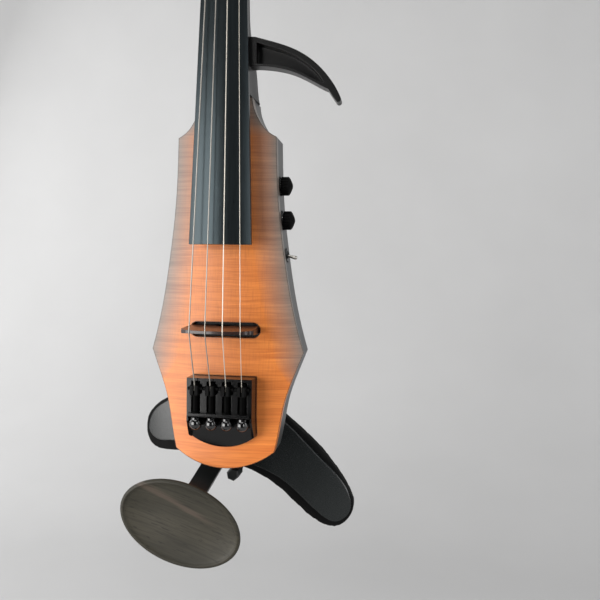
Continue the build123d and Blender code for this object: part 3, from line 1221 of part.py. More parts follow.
chin_across = (cos(radians(CHIN_TILT_DEG)), 0, -sin(radians(CHIN_TILT_DEG)))
chin_middle = (CHIN_CENTRE[0], CHIN_BOTTOM_Y, CHIN_CENTRE[1])
chin_face = Plane(origin=chin_middle, x_dir=chin_across, z_dir=(0, -1, 0))
RIM = 3.2
DISH_SLOPE = 9.0
DISH_DEPTH = 3.0
RIM_DEPTH = 2.4
UNDERCUT = 6.0
chin_top = chin_face.offset(CHIN_BOTTOM_Y - CHIN_TOP_Y)
with BuildPart() as chin_plate:
    # underside falls in from the rim, so the edge stays thin
    with BuildSketch(chin_face):
        Ellipse(CHIN_HALF[0] - UNDERCUT, CHIN_HALF[1] - UNDERCUT)
    with BuildSketch(chin_top.offset(-RIM_DEPTH)):
        Ellipse(*CHIN_HALF)
    loft()
    with BuildSketch(chin_top.offset(-RIM_DEPTH)):
        Ellipse(*CHIN_HALF)
    extrude(amount=RIM_DEPTH)
    fillet(chin_plate.faces().sort_by(Axis.Y)[0].outer_wire().edges(), radius=1.6)
    # shallow dish for the jaw inside the rim
    with BuildSketch(chin_top):
        Ellipse(CHIN_HALF[0] - RIM, CHIN_HALF[1] - RIM)
    with BuildSketch(chin_top.offset(-DISH_DEPTH)):
        Ellipse(CHIN_HALF[0] - RIM - DISH_SLOPE, CHIN_HALF[1] - RIM - DISH_SLOPE)
    loft(mode=Mode.SUBTRACT)
    for across in (-TILT_SCREW_X, TILT_SCREW_X):
        spot = arm_front * Location((across, -TILT_PIN_S - TILT_SCREW_S, 70.0 - CHIN_BOTTOM_Y))
        hole = Plane(spot.position, x_dir=arm_across, z_dir=(0, -1, 0))
        add_round(hole, TILT_SCREW_R, 5.2, Mode.SUBTRACT)
save(chin_plate, "chin_plate")


# ================= shoulder rest =================
FLANGE_T = 2.6
SLEEVE_R = 7.6
SLEEVE_END_Y = 68.8
CLAMP_R = 1.5
CLAMP_HEAD_R = 3.6
CLAMP_HEAD_T = 5.5
with BuildPart() as shoulder_flange:
    with BuildSketch(front(BACK_Y + FLANGE_T)):
        with Locations(POST):
            RectangleRounded(26.0, 27.0, 4.0)
    extrude(amount=FLANGE_T)
    sleeve_foot = back_plane(POST[0], POST[1], BACK_Y + FLANGE_T)
    add_round(sleeve_foot, SLEEVE_R, SLEEVE_END_Y - BACK_Y - FLANGE_T)
    bore_at(back_plane(POST[0], POST[1], SLEEVE_END_Y), POST_R + SLIDE_GAP, 20)
    # thread of the clamp screw, on the treble side of the sleeve
    clamp_plane = Plane(origin=(POST[0], SLEEVE_END_Y - 4.2, POST[1]), x_dir=(0, 1, 0), z_dir=(1, 0, 0))
    add_round(clamp_plane, CLAMP_R, 12, Mode.SUBTRACT)
    for x, z in FLANGE_SCREWS:
        bore_at(back_plane(x, z, BACK_Y + FLANGE_T), WOOD_SCREW_R + HOLE_GAP, 6)
save(shoulder_flange, "shoulder_flange")

with BuildPart() as wood_screws:
    # the chin bracket and the shoulder flange use the same screw
    for x, z in BRACKET_SCREWS:
        seat = back_plane(x, z, ARM_Y - 0.2 - WOOD_HEAD_H)
        add_screw(seat, WOOD_HEAD_R, WOOD_HEAD_H, WOOD_SCREW_R, WOOD_SCREW_LENGTH)
    for x, z in FLANGE_SCREWS:
        seat = back_plane(x, z, BACK_Y + FLANGE_T)
        add_screw(seat, WOOD_HEAD_R, WOOD_HEAD_H, WOOD_SCREW_R, WOOD_SCREW_LENGTH)
save(wood_screws, "wood_screws")

with BuildPart() as clamp_screw:
    add_round(clamp_plane.offset(POST_R + 0.1), CLAMP_R, 9.0)
    add_round(clamp_plane.offset(SLEEVE_R + 1.0), CLAMP_HEAD_R, CLAMP_HEAD_T)
    with BuildSketch(clamp_plane.offset(SLEEVE_R + 1.0)):
        with PolarLocations(CLAMP_HEAD_R + 0.2, 16):
            Circle(0.35)
    extrude(amount=CLAMP_HEAD_T, mode=Mode.SUBTRACT)
save(clamp_screw, "clamp_screw")

SPIGOT_R = 3.5
REST_BOSS_R = 8.0
REST_SCREW_R = 1.5
REST_SEAT = REST_PLATE_T + 1.2
with BuildPart() as shoulder_post:
    # sliding post, shoulder that carries the rest, spigot it turns on
    post_top = back_plane(POST[0], POST[1], REST_FRONT_Y - 0.1)
    add_round(post_top, POST_R, -(REST_FRONT_Y - 0.1 - 45.0))
    add_round(post_top, REST_BOSS_R, -2.0)
    add_round(post_top, SPIGOT_R, REST_SEAT)
    bore_at(post_top.offset(REST_SEAT), REST_SCREW_R, 12.0)
save(shoulder_post, "shoulder_post")

with BuildPart() as rest_screw:
    add_screw(post_top.offset(REST_SEAT), 5.2, 2.0, REST_SCREW_R, 11.0)
save(rest_screw, "rest_screw")


def bend_slab(near_y, far_y):
    """Slab curved about an axis along Z that is common to the rest's plate and pad."""
    centre = (REST_ARC_X, REST_FRONT_Y + REST_ARC_R)
    with BuildSketch(Plane.XY.offset(-170)) as ring:
        with Locations(centre):
            Circle(REST_ARC_R - (near_y - REST_FRONT_Y))
            Circle(REST_ARC_R - (far_y - REST_FRONT_Y), mode=Mode.SUBTRACT)
    extrude(ring.sketch, amount=140, mode=Mode.INTERSECT)


# Crescent of the rest, seen from the front: bass lobe, upper edge, treble tip, lower edge.
with BuildPart() as rest_plate:
    with BuildSketch(front(110.0)):
        with BuildLine():
            Spline(
                (-76.8, -84.5), (-72.0, -71.8), (-59.9, -62.5), (-34.0, -54.5), (4.0, -54.0), (32.4, -70.6),
                (61.2, -100.2), (83.1, -130.9), (83.6, -142.5), (74.5, -149.3), (61.8, -143.1),
                (34.8, -117.7), (10.5, -105.9), (-24.0, -99.0), (-56.2, -92.9), (-69.1, -93.4),
                periodic=True,
            )
        make_face()
    extrude(amount=50)
    bend_slab(REST_FRONT_Y, REST_FRONT_Y + REST_PLATE_T)
    # flat boss round the pivot
    add_round(back_plane(POST[0], POST[1], REST_FRONT_Y), REST_BOSS_R, REST_PLATE_T)
    bore_at(back_plane(POST[0], POST[1], REST_FRONT_Y + 10), SPIGOT_R + SLIDE_GAP, 12)
save(rest_plate, "rest_plate")

with BuildPart() as rest_pad:
    with BuildSketch(front(120.0)):
        with BuildLine():
            Spline(
                (-81.0, -87.0), (-76.0, -72.0), (-61.0, -61.0), (-34.0, -52.5), (5.0, -51.8), (34.0, -69.6),
                (60.2, -94.7), (82.5, -128.2), (85.6, -142.5), (73.5, -154.7), (59.5, -149.9),
                (32.0, -125.0), (3.3, -109.1), (-24.0, -104.0), (-56.0, -101.6), (-74.0, -100.6),
                periodic=True,
            )
        make_face()
    extrude(amount=60)
    bend_slab(REST_FRONT_Y + REST_PLATE_T, REST_FRONT_Y + REST_PLATE_T + REST_PAD_T)
    bore_at(back_plane(POST[0], POST[1], REST_FRONT_Y + 40), 9.0, 45)
save(rest_pad, "rest_pad")
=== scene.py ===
import bpy
import json
import math
from mathutils import Matrix, Vector


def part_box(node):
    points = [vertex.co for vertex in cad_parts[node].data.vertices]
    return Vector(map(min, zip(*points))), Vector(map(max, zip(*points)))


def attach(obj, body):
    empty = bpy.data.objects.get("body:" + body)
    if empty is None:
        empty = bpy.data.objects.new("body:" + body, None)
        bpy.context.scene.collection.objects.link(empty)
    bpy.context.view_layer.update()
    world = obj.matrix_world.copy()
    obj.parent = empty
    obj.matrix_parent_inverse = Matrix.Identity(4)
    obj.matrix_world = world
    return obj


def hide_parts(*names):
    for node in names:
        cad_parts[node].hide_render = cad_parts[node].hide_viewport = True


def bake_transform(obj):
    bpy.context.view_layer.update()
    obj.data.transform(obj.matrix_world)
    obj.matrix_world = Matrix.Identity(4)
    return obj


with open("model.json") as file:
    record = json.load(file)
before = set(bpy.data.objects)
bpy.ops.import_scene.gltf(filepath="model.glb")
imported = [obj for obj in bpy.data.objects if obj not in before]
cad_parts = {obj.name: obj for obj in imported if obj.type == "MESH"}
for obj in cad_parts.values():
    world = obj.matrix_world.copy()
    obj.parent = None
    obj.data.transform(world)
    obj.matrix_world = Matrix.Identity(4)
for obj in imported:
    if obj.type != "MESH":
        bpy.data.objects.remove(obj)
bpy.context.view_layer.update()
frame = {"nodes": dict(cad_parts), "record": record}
scene = bpy.context.scene
scene.view_settings.view_transform = "Standard"
MM = 0.001
WHITE = (1.0, 1.0, 1.0)


# ---------------------------------------------------------------- shader helper
class Paint:
    """A node material; object coordinates are the row frame in metres, and noise scales are per metre."""

    def __init__(self, name):
        self.material = bpy.data.materials.new(name)
        self.material.use_nodes = True
        self.tree = self.material.node_tree
        self.tree.nodes.clear()
        out = self.tree.nodes.new("ShaderNodeOutputMaterial")
        self.bsdf = self.tree.nodes.new("ShaderNodeBsdfPrincipled")
        self.tree.links.new(self.bsdf.outputs[0], out.inputs[0])
        self.place = self.tree.nodes.new("ShaderNodeTexCoord").outputs["Object"]

    def put(self, socket, value):
        """Link a socket to another node's output, or give it a value."""
        if isinstance(value, bpy.types.NodeSocket):
            self.tree.links.new(value, socket)
        elif isinstance(value, (tuple, list)) and len(value) == 3 and socket.type == "RGBA":
            socket.default_value = (*value, 1.0)
        else:
            socket.default_value = value

    def set(self, **values):
        """Set inputs of the surface shader by name, with _ for a space."""
        for key, value in values.items():
            self.put(self.bsdf.inputs[key.replace("_", " ")], value)

    def node(self, kind, *inputs, **props):
        n = self.tree.nodes.new("ShaderNode" + kind)
        for key, value in props.items():
            setattr(n, key, value)
        for i, value in enumerate(inputs):
            if value is not None:
                self.put(n.inputs[i], value)
        return n

    def math(self, operation, a, b=0.0, c=0.0, clamp=False):
        return self.node("Math", a, b, c, operation=operation, use_clamp=clamp).outputs[0]

    def plus(self, a, b):
        return self.math("ADD", a, b)

    def minus(self, a, b):
        return self.math("SUBTRACT", a, b)

    def times(self, a, b):
        return self.math("MULTIPLY", a, b)

    def spread(self, value, amount, base):
        """base where value is 0, base + amount where it is 1."""
        return self.math("MULTIPLY_ADD", value, amount, base)

    def wobble(self, value, amount):
        """Turn a 0 to 1 value into one that swings half of amount either way."""
        return self.times(self.minus(value, 0.5), amount)

    def stretch(self, scale, at=None, turn=(0, 0, 0)):
        return self.node("Mapping", at or self.place, (0, 0, 0), turn, scale).outputs[0]

    def noise(self, scale, detail=4.0, rough=0.5, at=None, distortion=0.0):
        n = self.node("TexNoise")
        self.put(n.inputs["Vector"], at or self.place)
        self.put(n.inputs["Scale"], scale)
        self.put(n.inputs["Detail"], detail)
        self.put(n.inputs["Roughness"], rough)
        self.put(n.inputs["Distortion"], distortion)
        return n.outputs["Fac"]

    def ramp(self, value, low, high):
        """0 at low and 1 at high, eased at both ends."""
        n = self.node("MapRange", value, low, high, 0.0, 1.0)
        n.interpolation_type = "SMOOTHSTEP"
        n.clamp = True
        return n.outputs[0]

    def mix(self, share, a, b):
        n = self.node("Mix", data_type="RGBA")
        self.put(n.inputs[0], share)
        self.put(n.inputs[6], a)
        self.put(n.inputs[7], b)
        return n.outputs[2]

    def axes(self, at=None):
        n = self.node("SeparateXYZ", at or self.place)
        return n.outputs[0], n.outputs[1], n.outputs[2]

    def bump(self, height, distance, strength=1.0, soft=0.0):
        """Relief of the given depth in metres; soft rounds the look of sharp edges by that radius."""
        n = self.node("Bump", strength, distance)
        self.put(n.inputs["Height"], height)
        if soft > 0:
            bevel = self.node("Bevel", soft, samples=4)
            self.put(n.inputs["Normal"], bevel.outputs[0])
        self.put(self.bsdf.inputs["Normal"], n.outputs[0])

    def arris(self, width):
        """1 close to a sharp edge, 0 away from it."""
        bevel = self.node("Bevel", width, samples=6)
        true = self.node("NewGeometry").outputs["True Normal"]
        dot = self.node("VectorMath", bevel.outputs[0], true, operation="DOT_PRODUCT").outputs["Value"]
        flat, turned = 0.992, 0.93  # cosines between the true and the rounded normal
        return self.ramp(dot, flat, turned)


FINE_RELIEF = 0.02 * MM


def finish_coat(name, colour, rough, metal=0.0, grain=900.0, vary=0.15, depth=FINE_RELIEF, soft=0.3 * MM,
                level=0.5):
    """Painted, moulded or bare metal surface: cloudy colour, fine grain in roughness and normal."""
    p = Paint(name)
    cloud = p.noise(60.0, 3.0)
    fine = p.noise(grain, 3.0, 0.6)
    dark = tuple(c * (1 - vary) for c in colour)
    light = tuple(min(1.0, c * (1 + vary)) for c in colour)
    p.set(Base_Color=p.mix(cloud, dark, light), Metallic=metal, Specular_IOR_Level=level)
    rough_range = 0.12
    p.set(Roughness=p.spread(fine, rough_range, rough - 0.5 * rough_range))
    p.bump(fine, depth, 0.5, soft)
    return p.material


# ---------------------------------------------------------------- wood
# the body's outline in millimetres: place along the strings, half width
BODY_STATIONS = (
    (-96.0, 70.0), (-70.0, 56.0), (-48.0, 50.5), (-30.0, 51.5), (-15.5, 53.9), (20.0, 45.0), (54.0, 39.5),
    (87.5, 35.7), (114.5, 34.4), (130.0, 34.0), (139.4, 23.3), (146.6, 19.7), (156.0, 17.7),
)


def edge_distance(p, x, z):
    """Distance from the body's edge in metres, worked out from its half width along the strings."""
    low, high, reach = -100 * MM, 160 * MM, 100 * MM
    curve = p.node("FloatCurve")
    p.put(curve.inputs["Value"], p.math("DIVIDE", p.minus(z, low), high - low))
    line = curve.mapping.curves[0]
    points = [((place * MM - low) / (high - low), half * MM / reach) for place, half in BODY_STATIONS]
    line.points[0].location = (0.0, points[0][1])
    line.points[1].location = (1.0, points[-1][1])
    for a, b in points:
        line.points.new(a, b)
    for point in line.points:
        point.handle_type = "VECTOR"
    curve.mapping.update()
    return p.minus(p.times(curve.outputs[0], reach), p.math("ABSOLUTE", x))


# colours of the figure's dark and light bands, then of what lies over them
AMBER = (0.52, 0.138, 0.027), (0.80, 0.268, 0.056)
TAIL_AMBER = (0.63, 0.158, 0.030), (0.86, 0.280, 0.058)
BURST_GREY = (0.165, 0.138, 0.118), (0.232, 0.197, 0.170)
CLOUDED_AMBER = (0.60, 0.155, 0.020)
PORE_BROWN = (0.34, 0.085, 0.025)
EDGE_LINE = (0.030, 0.022, 0.018)


def flamed_top():
    """Satin amber maple, figured across the plate, with a greyed burst on its flanks and a dark edge line."""
    p = Paint("flamed_top")
    x, _, z = p.axes()
    wavy_z = p.plus(z, p.wobble(p.noise(26.0, 2.0), 3 * MM))

    def bands(scale, squeeze, layer):
        """Bands of figure that run across the plate, because the noise is squeezed along them."""
        at = p.node("CombineXYZ", p.times(x, squeeze), layer, wavy_z).outputs[0]
        return p.ramp(p.noise(scale, 2.0, at=at), 0.34, 0.66)

    fine, broad = bands(950.0, 0.045, 0.0), bands(240.0, 0.030, 0.3)
    figure = p.plus(p.times(fine, 0.45), p.times(broad, 0.55))
    pores = p.noise(1.0, 3.0, 0.6, at=p.stretch((1100.0, 1100.0, 90.0)))
    cloud = p.noise(22.0, 2.0)
    amber = p.mix(figure, *AMBER)
    amber = p.mix(p.times(cloud, 0.35), amber, CLOUDED_AMBER)
    amber = p.mix(p.times(p.ramp(pores, 0.45, 0.70), 0.22), amber, PORE_BROWN)
    # paler and yellower towards the tail
    amber = p.mix(p.ramp(z, 0.0, -80 * MM), amber, p.mix(figure, *TAIL_AMBER))
    # greyed burst, deep on the flanks, none round the tail
    edge = p.plus(edge_distance(p, x, z), p.wobble(figure, 0.8 * MM))
    depth = p.spread(p.ramp(z, -50 * MM, -15 * MM), 20 * MM, 0.5 * MM)
    share = p.math("SUBTRACT", 1.0, p.math("DIVIDE", edge, depth), clamp=True)
    share = p.times(p.math("POWER", share, 0.90), p.ramp(z, -66 * MM, -20 * MM))
    colour = p.mix(share, amber, p.mix(figure, *BURST_GREY))
    colour = p.mix(p.times(p.arris(1.2 * MM), 0.90), colour, EDGE_LINE)
    p.set(Base_Color=colour, Roughness=p.spread(pores, 0.08, 0.36))
    p.set(Coat_Weight=0.20, Coat_Roughness=0.32, Specular_IOR_Level=0.4)
    p.bump(pores, FINE_RELIEF, 0.25, 0.4 * MM)
    return p.material


def dark_wood(name, dark, light, rough, along="z", coat=0.0, level=0.5, tint=WHITE):
    """Straight grained dark wood, such as the fingerboard; the grain runs along one axis."""
    p = Paint(name)
    fast, slow = 700.0, 14.0
    scale = (fast, fast, slow) if along == "z" else (slow, fast, fast)
    grain = p.noise(1.0, 5.0, 0.6, at=p.stretch(scale))
    pores = p.ramp(p.noise(1.0, 2.0, at=p.stretch(tuple(3.0 * s for s in scale))), 0.55, 0.75)
    colour = p.mix(grain, dark, light)
    colour = p.mix(p.times(pores, 0.5), colour, tuple(0.5 * c for c in dark))
    p.set(Base_Color=colour, Roughness=p.spread(grain, 0.10, rough), Coat_Weight=coat)
    # a tint other than white colours every reflection of this wood, which paints in the colour of reflected
    # light
    p.set(Specular_IOR_Level=level, Specular_Tint=tint)
    p.bump(grain, FINE_RELIEF, 0.3, 0.4 * MM)
    return p.material


def side_finish():
    """Satin charcoal of the body's sides and back, with the wood's grain just showing through."""
    p = Paint("side_finish")
    grain = p.noise(1.0, 4.0, 0.55, at=p.stretch((300.0, 500.0, 12.0)))
    colour = p.mix(grain, (0.040, 0.040, 0.041), (0.058, 0.058, 0.060))
    p.set(Base_Color=colour, Roughness=p.spread(grain, 0.10, 0.40))
    p.set(Coat_Weight=0.2, Coat_Roughness=0.35)
    p.bump(grain, FINE_RELIEF, 0.3, 0.6 * MM)
    return p.material


CHIN_ANGLE = math.radians(18.0)  # the chin plate's long axis falls this much towards the treble side
CHIN_OLIVE = (0.029, 0.0265, 0.018), (0.052, 0.0465, 0.033)
CHIN_FIBRE = (0.017, 0.0155, 0.011)
CHIN_FLECK = (0.008, 0.0075, 0.006)
CHIN_BAND = (0.105, 0.076, 0.058)


def chin_wood():
    """Weathered dark hardwood, grain along the long axis, one pale band across it."""
    p = Paint("chin_wood")
    low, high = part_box("chin_plate")
    middle = 0.5 * (low + high)
    moved = p.node("VectorMath", p.place, tuple(middle), operation="SUBTRACT").outputs[0]
    turned = p.stretch((1, 1, 1), moved, (0, -CHIN_ANGLE, 0))
    along, _, across = p.axes(turned)
    tipped = (0, math.radians(6.0), 0)
    fibres = p.stretch((22.0, 300.0, 620.0), turned, tipped)
    clouds = p.stretch((16.0, 60.0, 55.0), turned)
    specks = p.stretch((120.0, 900.0, 900.0), turned, tipped)
    grain = p.noise(1.0, 6.0, 0.62, at=fibres, distortion=0.6)
    cloud = p.noise(1.0, 3.0, 0.55, at=clouds)
    fleck = p.ramp(p.noise(1.0, 2.0, at=specks), 0.60, 0.74)
    colour = p.mix(p.ramp(cloud, 0.30, 0.70), *CHIN_OLIVE)
    colour = p.mix(p.times(p.ramp(grain, 0.42, 0.68), 0.6), colour, CHIN_FIBRE)
    colour = p.mix(p.times(fleck, 0.6), colour, CHIN_FLECK)
    # pale brown band that fades out towards the middle
    slope = 0.16
    offset = p.plus(p.plus(across, p.times(along, slope)), p.wobble(grain, 6 * MM))
    band = p.times(p.ramp(offset, 7.8 * MM, 9.8 * MM), p.ramp(offset, 14.0 * MM, 10.5 * MM))
    band = p.times(band, p.ramp(along, 26 * MM, 6 * MM))
    colour = p.mix(p.times(band, 0.50), colour, CHIN_BAND)
    p.set(Base_Color=colour, Roughness=p.spread(grain, 0.2, 0.38), Specular_IOR_Level=0.28)
    p.bump(grain, 0.04 * MM, 0.35, 0.6 * MM)
    return p.material


# ---------------------------------------------------------------- strings, screws, circuit board
def string_finish(name, dark, light):
    """Flat wound string: smooth metal ribbon, a little cloudy along its length."""
    p = Paint(name)
    cloud = p.noise(1.0, 3.0, at=p.stretch((400.0, 400.0, 60.0)))
    p.set(Base_Color=p.mix(cloud, dark, light), Metallic=0.75)
    p.set(Roughness=p.spread(cloud, 0.10, 0.36))
    return p.material


def screw_thread(name, colour, pitch):
    """Dark threaded rod that lies along the strings; rings of bumps stand for its fine thread."""
    p = Paint(name)
    _, _, z = p.axes()
    rings = p.math("SINE", p.times(z, 2 * math.pi / pitch))
    cloud = p.noise(300.0, 2.0)
    p.set(Base_Color=p.mix(cloud, colour, tuple(1.6 * c for c in colour)), Specular_IOR_Level=0.04)
    p.set(Roughness=p.spread(rings, 0.06, 0.55))
    p.bump(rings, 0.05 * MM, 0.5)
    return p.material


def board_finish():
    """Green circuit board with lighter tracks; the parts that stand up from it are black."""
    p = Paint("board_green")
    _, y, _ = p.axes()
    tracks = p.ramp(p.noise(1.0, 1.0, 0.2, at=p.stretch((500.0, 500.0, 60.0))), 0.52, 0.54)
    board = p.mix(tracks, (0.012, 0.090, 0.040), (0.030, 0.180, 0.075))
    above_board = p.ramp(y, 49.8 * MM, 49.6 * MM)
    p.set(Base_Color=p.mix(above_board, board, (0.02, 0.02, 0.022)), Roughness=0.4)
    p.bump(tracks, 0.03 * MM, 0.6, 0.2 * MM)
    return p.material


# ---------------------------------------------------------------- finish of every slot
MATERIALS = {
    "body_wood": side_finish(),
    "flamed_top": flamed_top(),
    "neck_wood": dark_wood("neck_finish", (0.036, 0.036, 0.037), (0.052, 0.052, 0.054), 0.40),
    # painted reflection: the faint blue in the fingerboard's colour and the blue tint of its reflections
    # stand in for the bluish light it reflects
    "ebony": dark_wood("ebony", (0.0040, 0.0048, 0.0052), (0.0095, 0.0110, 0.0118), 0.24,
                       level=0.52, tint=(0.72, 0.92, 1.0)),
    "bridge_wood": dark_wood("bridge_wood", (0.012, 0.006, 0.005), (0.034, 0.015, 0.012), 0.26,
                             along="x", coat=0.2),
    "chin_wood": chin_wood(),
    "black_plastic": finish_coat("black_plastic", (0.008, 0.008, 0.009), 0.45, level=0.3),
    "knob_black": finish_coat("knob_black", (0.0015, 0.0015, 0.0015), 0.50, level=0.06),
    "wire_plastic": finish_coat("wire_plastic", (0.30, 0.03, 0.02), 0.4),
    "board_green": board_finish(),
    "capacitor_blue": finish_coat("capacitor_sleeve", (0.02, 0.04, 0.22), 0.25),
    "black_steel": finish_coat("black_steel", (0.010, 0.012, 0.012), 0.36),
    "tuner_black": finish_coat("tuner_black", (0.0012, 0.0012, 0.0014), 0.16,
                               grain=1500.0, vary=0.08, soft=0.5 * MM, level=0.42),
    "horn_black": finish_coat("horn_black", (0.004, 0.004, 0.004), 0.34, soft=0.8 * MM, level=0.35),
    "rest_black": finish_coat("rest_black", (0.0070, 0.0095, 0.0095), 0.26,
                              grain=1400.0, depth=0.004 * MM, soft=1.1 * MM, level=0.58),
    "pad_rubber": finish_coat("pad_rubber", (0.0035, 0.0035, 0.0035), 0.80,
                              grain=2200.0, depth=0.08 * MM, soft=1.0 * MM, level=0.15),
    "steel": finish_coat("steel", (0.52, 0.50, 0.46), 0.30, metal=1.0),
    "string_steel": string_finish("string_steel", (0.62, 0.58, 0.50), (0.80, 0.75, 0.66)),
    "brass": finish_coat("brass", (0.60, 0.42, 0.16), 0.3, metal=1.0),
}
DULL_STRING = string_finish("string_wound", (0.30, 0.28, 0.25), (0.42, 0.40, 0.36))
# pieces of the tuners whose black differs from the rest of their slot
THREAD_PITCH = 0.7 * MM
TUNER_BLACKS = {
    "lead_screw": screw_thread("lead_black", (0.0008, 0.0008, 0.0008), THREAD_PITCH),
    "tuner_knob": finish_coat("ball_black", (0.0010, 0.0010, 0.0011), 0.10,
                              grain=1500.0, vary=0.08, depth=0.004 * MM, soft=0.2 * MM, level=1.0),
    "jaw": finish_coat("jaw_black", (0.0012, 0.0012, 0.0012), 0.42, level=0.10),
}

slot_of = {s["node"]: s["material_slot"] for s in frame["record"]["subparts"]}
for name, obj in frame["nodes"].items():
    kind = name.rsplit("_", 1)[0]
    obj.data.materials.clear()
    obj.data.materials.append(TUNER_BLACKS.get(kind, MATERIALS[slot_of[name]]))


# ---------------------------------------------------------------- own pieces
def add_object(name, data):
    obj = bpy.data.objects.new(name, data)
    scene.collection.objects.link(obj)
    return obj


def smooth_faces(mesh, flat_at_end=0):
    for poly in mesh.polygons:
        poly.use_smooth = poly.index < len(mesh.polygons) - flat_at_end


def own_copy(node, name, material):
    """A new mesh that starts from a CAD node's shape."""
    mesh = frame["nodes"][node].data.copy()
    mesh.name = name
    obj = add_object(name, mesh)
    mesh.materials.clear()
    mesh.materials.append(material)
    return obj


def moulded_pad():
    """Soft foam pad of the shoulder rest: the slab with rounded edges and a crowned, slightly uneven skin."""
    obj = own_copy("rest_pad", "foam_pad", MATERIALS["pad_rubber"])
    remesh = obj.modifiers.new("skin", "REMESH")
    remesh.mode = "VOXEL"
    remesh.voxel_size = 1.2 * MM
    smooth = obj.modifiers.new("round", "SMOOTH")
    smooth.factor = 0.5
    smooth.iterations = 7
    lumps = bpy.data.textures.new("foam_lumps", "CLOUDS")
    lumps.noise_scale = 12 * MM
    swell = obj.modifiers.new("swell", "DISPLACE")
    swell.texture = lumps
    swell.texture_coords = "LOCAL"
    swell.strength = 0.9 * MM
    swell.mid_level = 0.0
    graph = bpy.context.evaluated_depsgraph_get()
    final = bpy.data.meshes.new_from_object(obj.evaluated_get(graph))
    obj.modifiers.clear()
    obj.data = final
    smooth_faces(final)
    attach(obj, "shoulder_rest")
    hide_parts("rest_pad")


# the chin plate's profile over its rim, in millimetres: distance in from the rim, depth behind its crest
CHIN_RIM_HALF_LONG = 42.3
CHIN_RIM_HALF_SHORT = 27.4
CHIN_UNDERSIDE_INSET = 6.0
CHIN_RIM = (
    (4.4, 8.6), (1.4, 4.2), (0.2, 2.6), (0.0, 1.9), (0.25, 1.0), (0.8, 0.35), (1.5, 0.05),
    (2.1, 0.0), (2.6, 0.15), (3.0, 0.55), (3.5, 0.85),
)
CHIN_HOLLOW_WIDTH = 22.6
CHIN_HOLLOW_DEPTH = 3.1
CHIN_HOLLOW_STEPS = 14
CHIN_HOLLOW_POWER = 2.2
CHIN_RING_POINTS = 144


def ellipse_ring(middle, inward, depth):
    """Points round an ellipse in the chin plate's plane, a distance in from its rim."""
    half_long = (CHIN_RIM_HALF_LONG - inward) * MM
    half_short = (CHIN_RIM_HALF_SHORT - inward) * MM
    ring = []
    for i in range(CHIN_RING_POINTS):
        a = 2 * math.pi * i / CHIN_RING_POINTS
        u, v = half_long * math.cos(a), half_short * math.sin(a)
        x = u * math.cos(CHIN_ANGLE) + v * math.sin(CHIN_ANGLE)
        z = -u * math.sin(CHIN_ANGLE) + v * math.cos(CHIN_ANGLE)
        ring.append((middle[0] + x, depth, middle[2] + z))
    return ring


def chin_profile(thickness):
    """Rim and hollow as one line from the plate's underside to the flat at its middle."""
    start, step = CHIN_RIM[-1]
    hollow = []
    for i in range(1, CHIN_HOLLOW_STEPS + 1):
        t = i / CHIN_HOLLOW_STEPS
        fall = 1 - (1 - t) ** CHIN_HOLLOW_POWER
        hollow.append((start + CHIN_HOLLOW_WIDTH * t, step + (CHIN_HOLLOW_DEPTH - step) * fall))
    return [(CHIN_UNDERSIDE_INSET, thickness), *CHIN_RIM, *hollow]


def dished_plate():
    """Chin plate turned in one piece: rounded rim, a small step inside it, then one smooth hollow."""
    low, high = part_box("chin_plate")
    middle = 0.5 * (low + high)
    face, under = low[1], high[1]
    profile = chin_profile((under - face) / MM)
    verts = []
    for inward, depth in profile:
        verts += ellipse_ring(middle, inward, face + depth * MM)
    count = CHIN_RING_POINTS
    faces = []
    for k in range(len(profile) - 1):
        for i in range(count):
            j = (i + 1) % count
            faces.append((k * count + i, k * count + j, (k + 1) * count + j, (k + 1) * count + i))
    underside = tuple(reversed(range(count)))
    last = (len(profile) - 1) * count
    bottom_of_hollow = tuple(range(last, last + count))
    faces += [underside, bottom_of_hollow]
    mesh = bpy.data.meshes.new("dished_plate")
    mesh.from_pydata(verts, [], faces)
    mesh.validate()
    obj = add_object("dished_plate", mesh)
    smooth_faces(mesh, flat_at_end=2)
    mesh.materials.append(MATERIALS["chin_wood"])
    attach(obj, "chin_rest")
    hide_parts("chin_plate")


def stretched_strings():
    """Smooth copies of the four strings, fixed where they stand; the first two get the duller finish."""
    for number in range(1, 5):
        node = "string_" + str(number)
        finish = DULL_STRING if number < 3 else MATERIALS["string_steel"]
        obj = own_copy(node, "played_" + node, finish)
        smooth_faces(obj.data)
        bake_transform(obj)
        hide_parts(node)


moulded_pad()
dished_plate()
stretched_strings()


# ---------------------------------------------------------------- stage
def plain_stage():
    """Pale floor that curves up into a pale wall far behind the instrument."""
    floor_z, top_z = -0.45, 2.6
    front_y, wall_y = -0.8, 1.35
    half_width, bend = 3.2, 0.7
    profile = [(front_y, floor_z), (wall_y - bend, floor_z)]
    steps = 24
    for i in range(1, steps):
        a = 0.5 * math.pi * i / steps
        profile.append((wall_y - bend + bend * math.sin(a), floor_z + bend - bend * math.cos(a)))
    profile += [(wall_y, floor_z + bend), (wall_y, top_z)]
    verts = [(side * half_width, y, z) for y, z in profile for side in (-1, 1)]
    faces = [(2 * i, 2 * i + 1, 2 * i + 3, 2 * i + 2) for i in range(len(profile) - 1)]
    mesh = bpy.data.meshes.new("studio_floor")
    mesh.from_pydata(verts, [], faces)
    smooth_faces(mesh)
    obj = add_object("studio_floor", mesh)
    p = Paint("studio_paint")
    cloud = p.noise(1.6, 4.0, 0.6)
    p.set(Base_Color=p.mix(cloud, (0.50, 0.50, 0.50), (0.62, 0.62, 0.62)), Roughness=0.9)
    p.bump(p.noise(60.0, 3.0), 0.4 * MM, 0.2)
    mesh.materials.append(p.material)


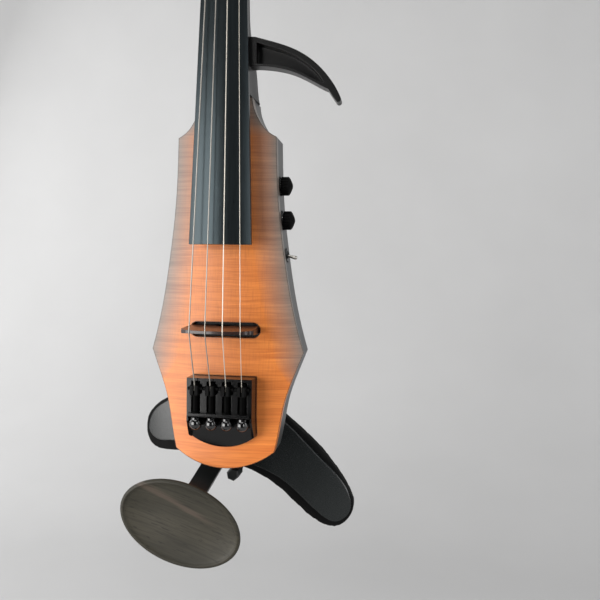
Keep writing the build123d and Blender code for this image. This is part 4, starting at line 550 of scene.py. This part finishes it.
def open_side():
    """The studio's open side looks pale to the camera but adds little light, so black parts stay black."""
    light_level, seen_level = 0.06, 0.55
    world = bpy.data.worlds.new("studio_world")
    scene.world = world
    world.use_nodes = True
    sky = world.node_tree
    backdrop = sky.nodes["Background"]
    backdrop.inputs["Color"].default_value = (0.80, 0.82, 0.86, 1.0)
    seen = sky.nodes.new("ShaderNodeLightPath")
    level = sky.nodes.new("ShaderNodeMapRange")
    level.inputs["To Min"].default_value = light_level
    level.inputs["To Max"].default_value = seen_level
    sky.links.new(seen.outputs["Is Camera Ray"], level.inputs["Value"])
    sky.links.new(level.outputs[0], backdrop.inputs["Strength"])


def soft_light(name, place, target, size, power, colour=WHITE):
    """Rectangular light of the given size and watts, aimed at a target."""
    data = bpy.data.lights.new(name, "AREA")
    data.shape = "RECTANGLE"
    data.size, data.size_y = size
    data.energy = power
    data.color = colour
    obj = add_object(name, data)
    obj.location = place
    obj.rotation_euler = (Vector(target) - Vector(place)).to_track_quat("-Z", "Y").to_euler()


plain_stage()
open_side()
soft_light("key", (-1.02, -1.13, 0.05), (0.0, 0.0, 0.03), (1.32, 1.20), 30.0, (1.0, 0.985, 0.97))
soft_light("fill", (1.05, -1.15, 0.30), (0.0, 0.0, 0.05), (0.45, 1.10), 6.5)
soft_light("top", (-0.1, -0.7, 1.6), (0.0, 0.1, 0.0), (1.2, 0.7), 10.0)
soft_light("behind", (-1.35, 0.85, 0.6), (0.0, 0.05, 0.0), (0.5, 1.2), 9.0)
soft_light("wall_left", (-1.6, 0.1, 0.5), (0.0, 1.35, 0.1), (0.8, 1.8), 9.5)
soft_light("wall_right", (1.7, 0.0, 0.5), (0.1, 1.35, 0.1), (0.8, 1.8), 11.0)

# ---------------------------------------------------------------- camera at the photo's viewing angle
YAW, PITCH, ROLL = 0.144913, 0.0449815, 0.0135496  # radians
LENS_SHARE = 1.07635  # focal length as a share of the picture's width
SENSOR_WIDTH = 36.0
CAMERA_PLACE = (114.1 * MM, -399.8 * MM, 40.4 * MM)
camera_data = bpy.data.cameras.new("camera")
camera_data.sensor_width = SENSOR_WIDTH
camera_data.lens = SENSOR_WIDTH * LENS_SHARE
camera_data.clip_start, camera_data.clip_end = 0.01, 20.0
camera = add_object("camera", camera_data)
# right, down and forward axes of the lens seen from the row frame
to_lens = Matrix(((1, 0, 0), (0, 0, -1), (0, 1, 0)))
tilt = Matrix.Rotation(ROLL, 3, "Z") @ Matrix.Rotation(PITCH, 3, "X")
turn = tilt @ Matrix.Rotation(YAW, 3, "Y") @ to_lens
right, down, forward = turn[0], turn[1], turn[2]
pose = Matrix((right, -down, -forward)).transposed().to_4x4()
pose.translation = CAMERA_PLACE
camera.matrix_world = pose
scene.camera = camera
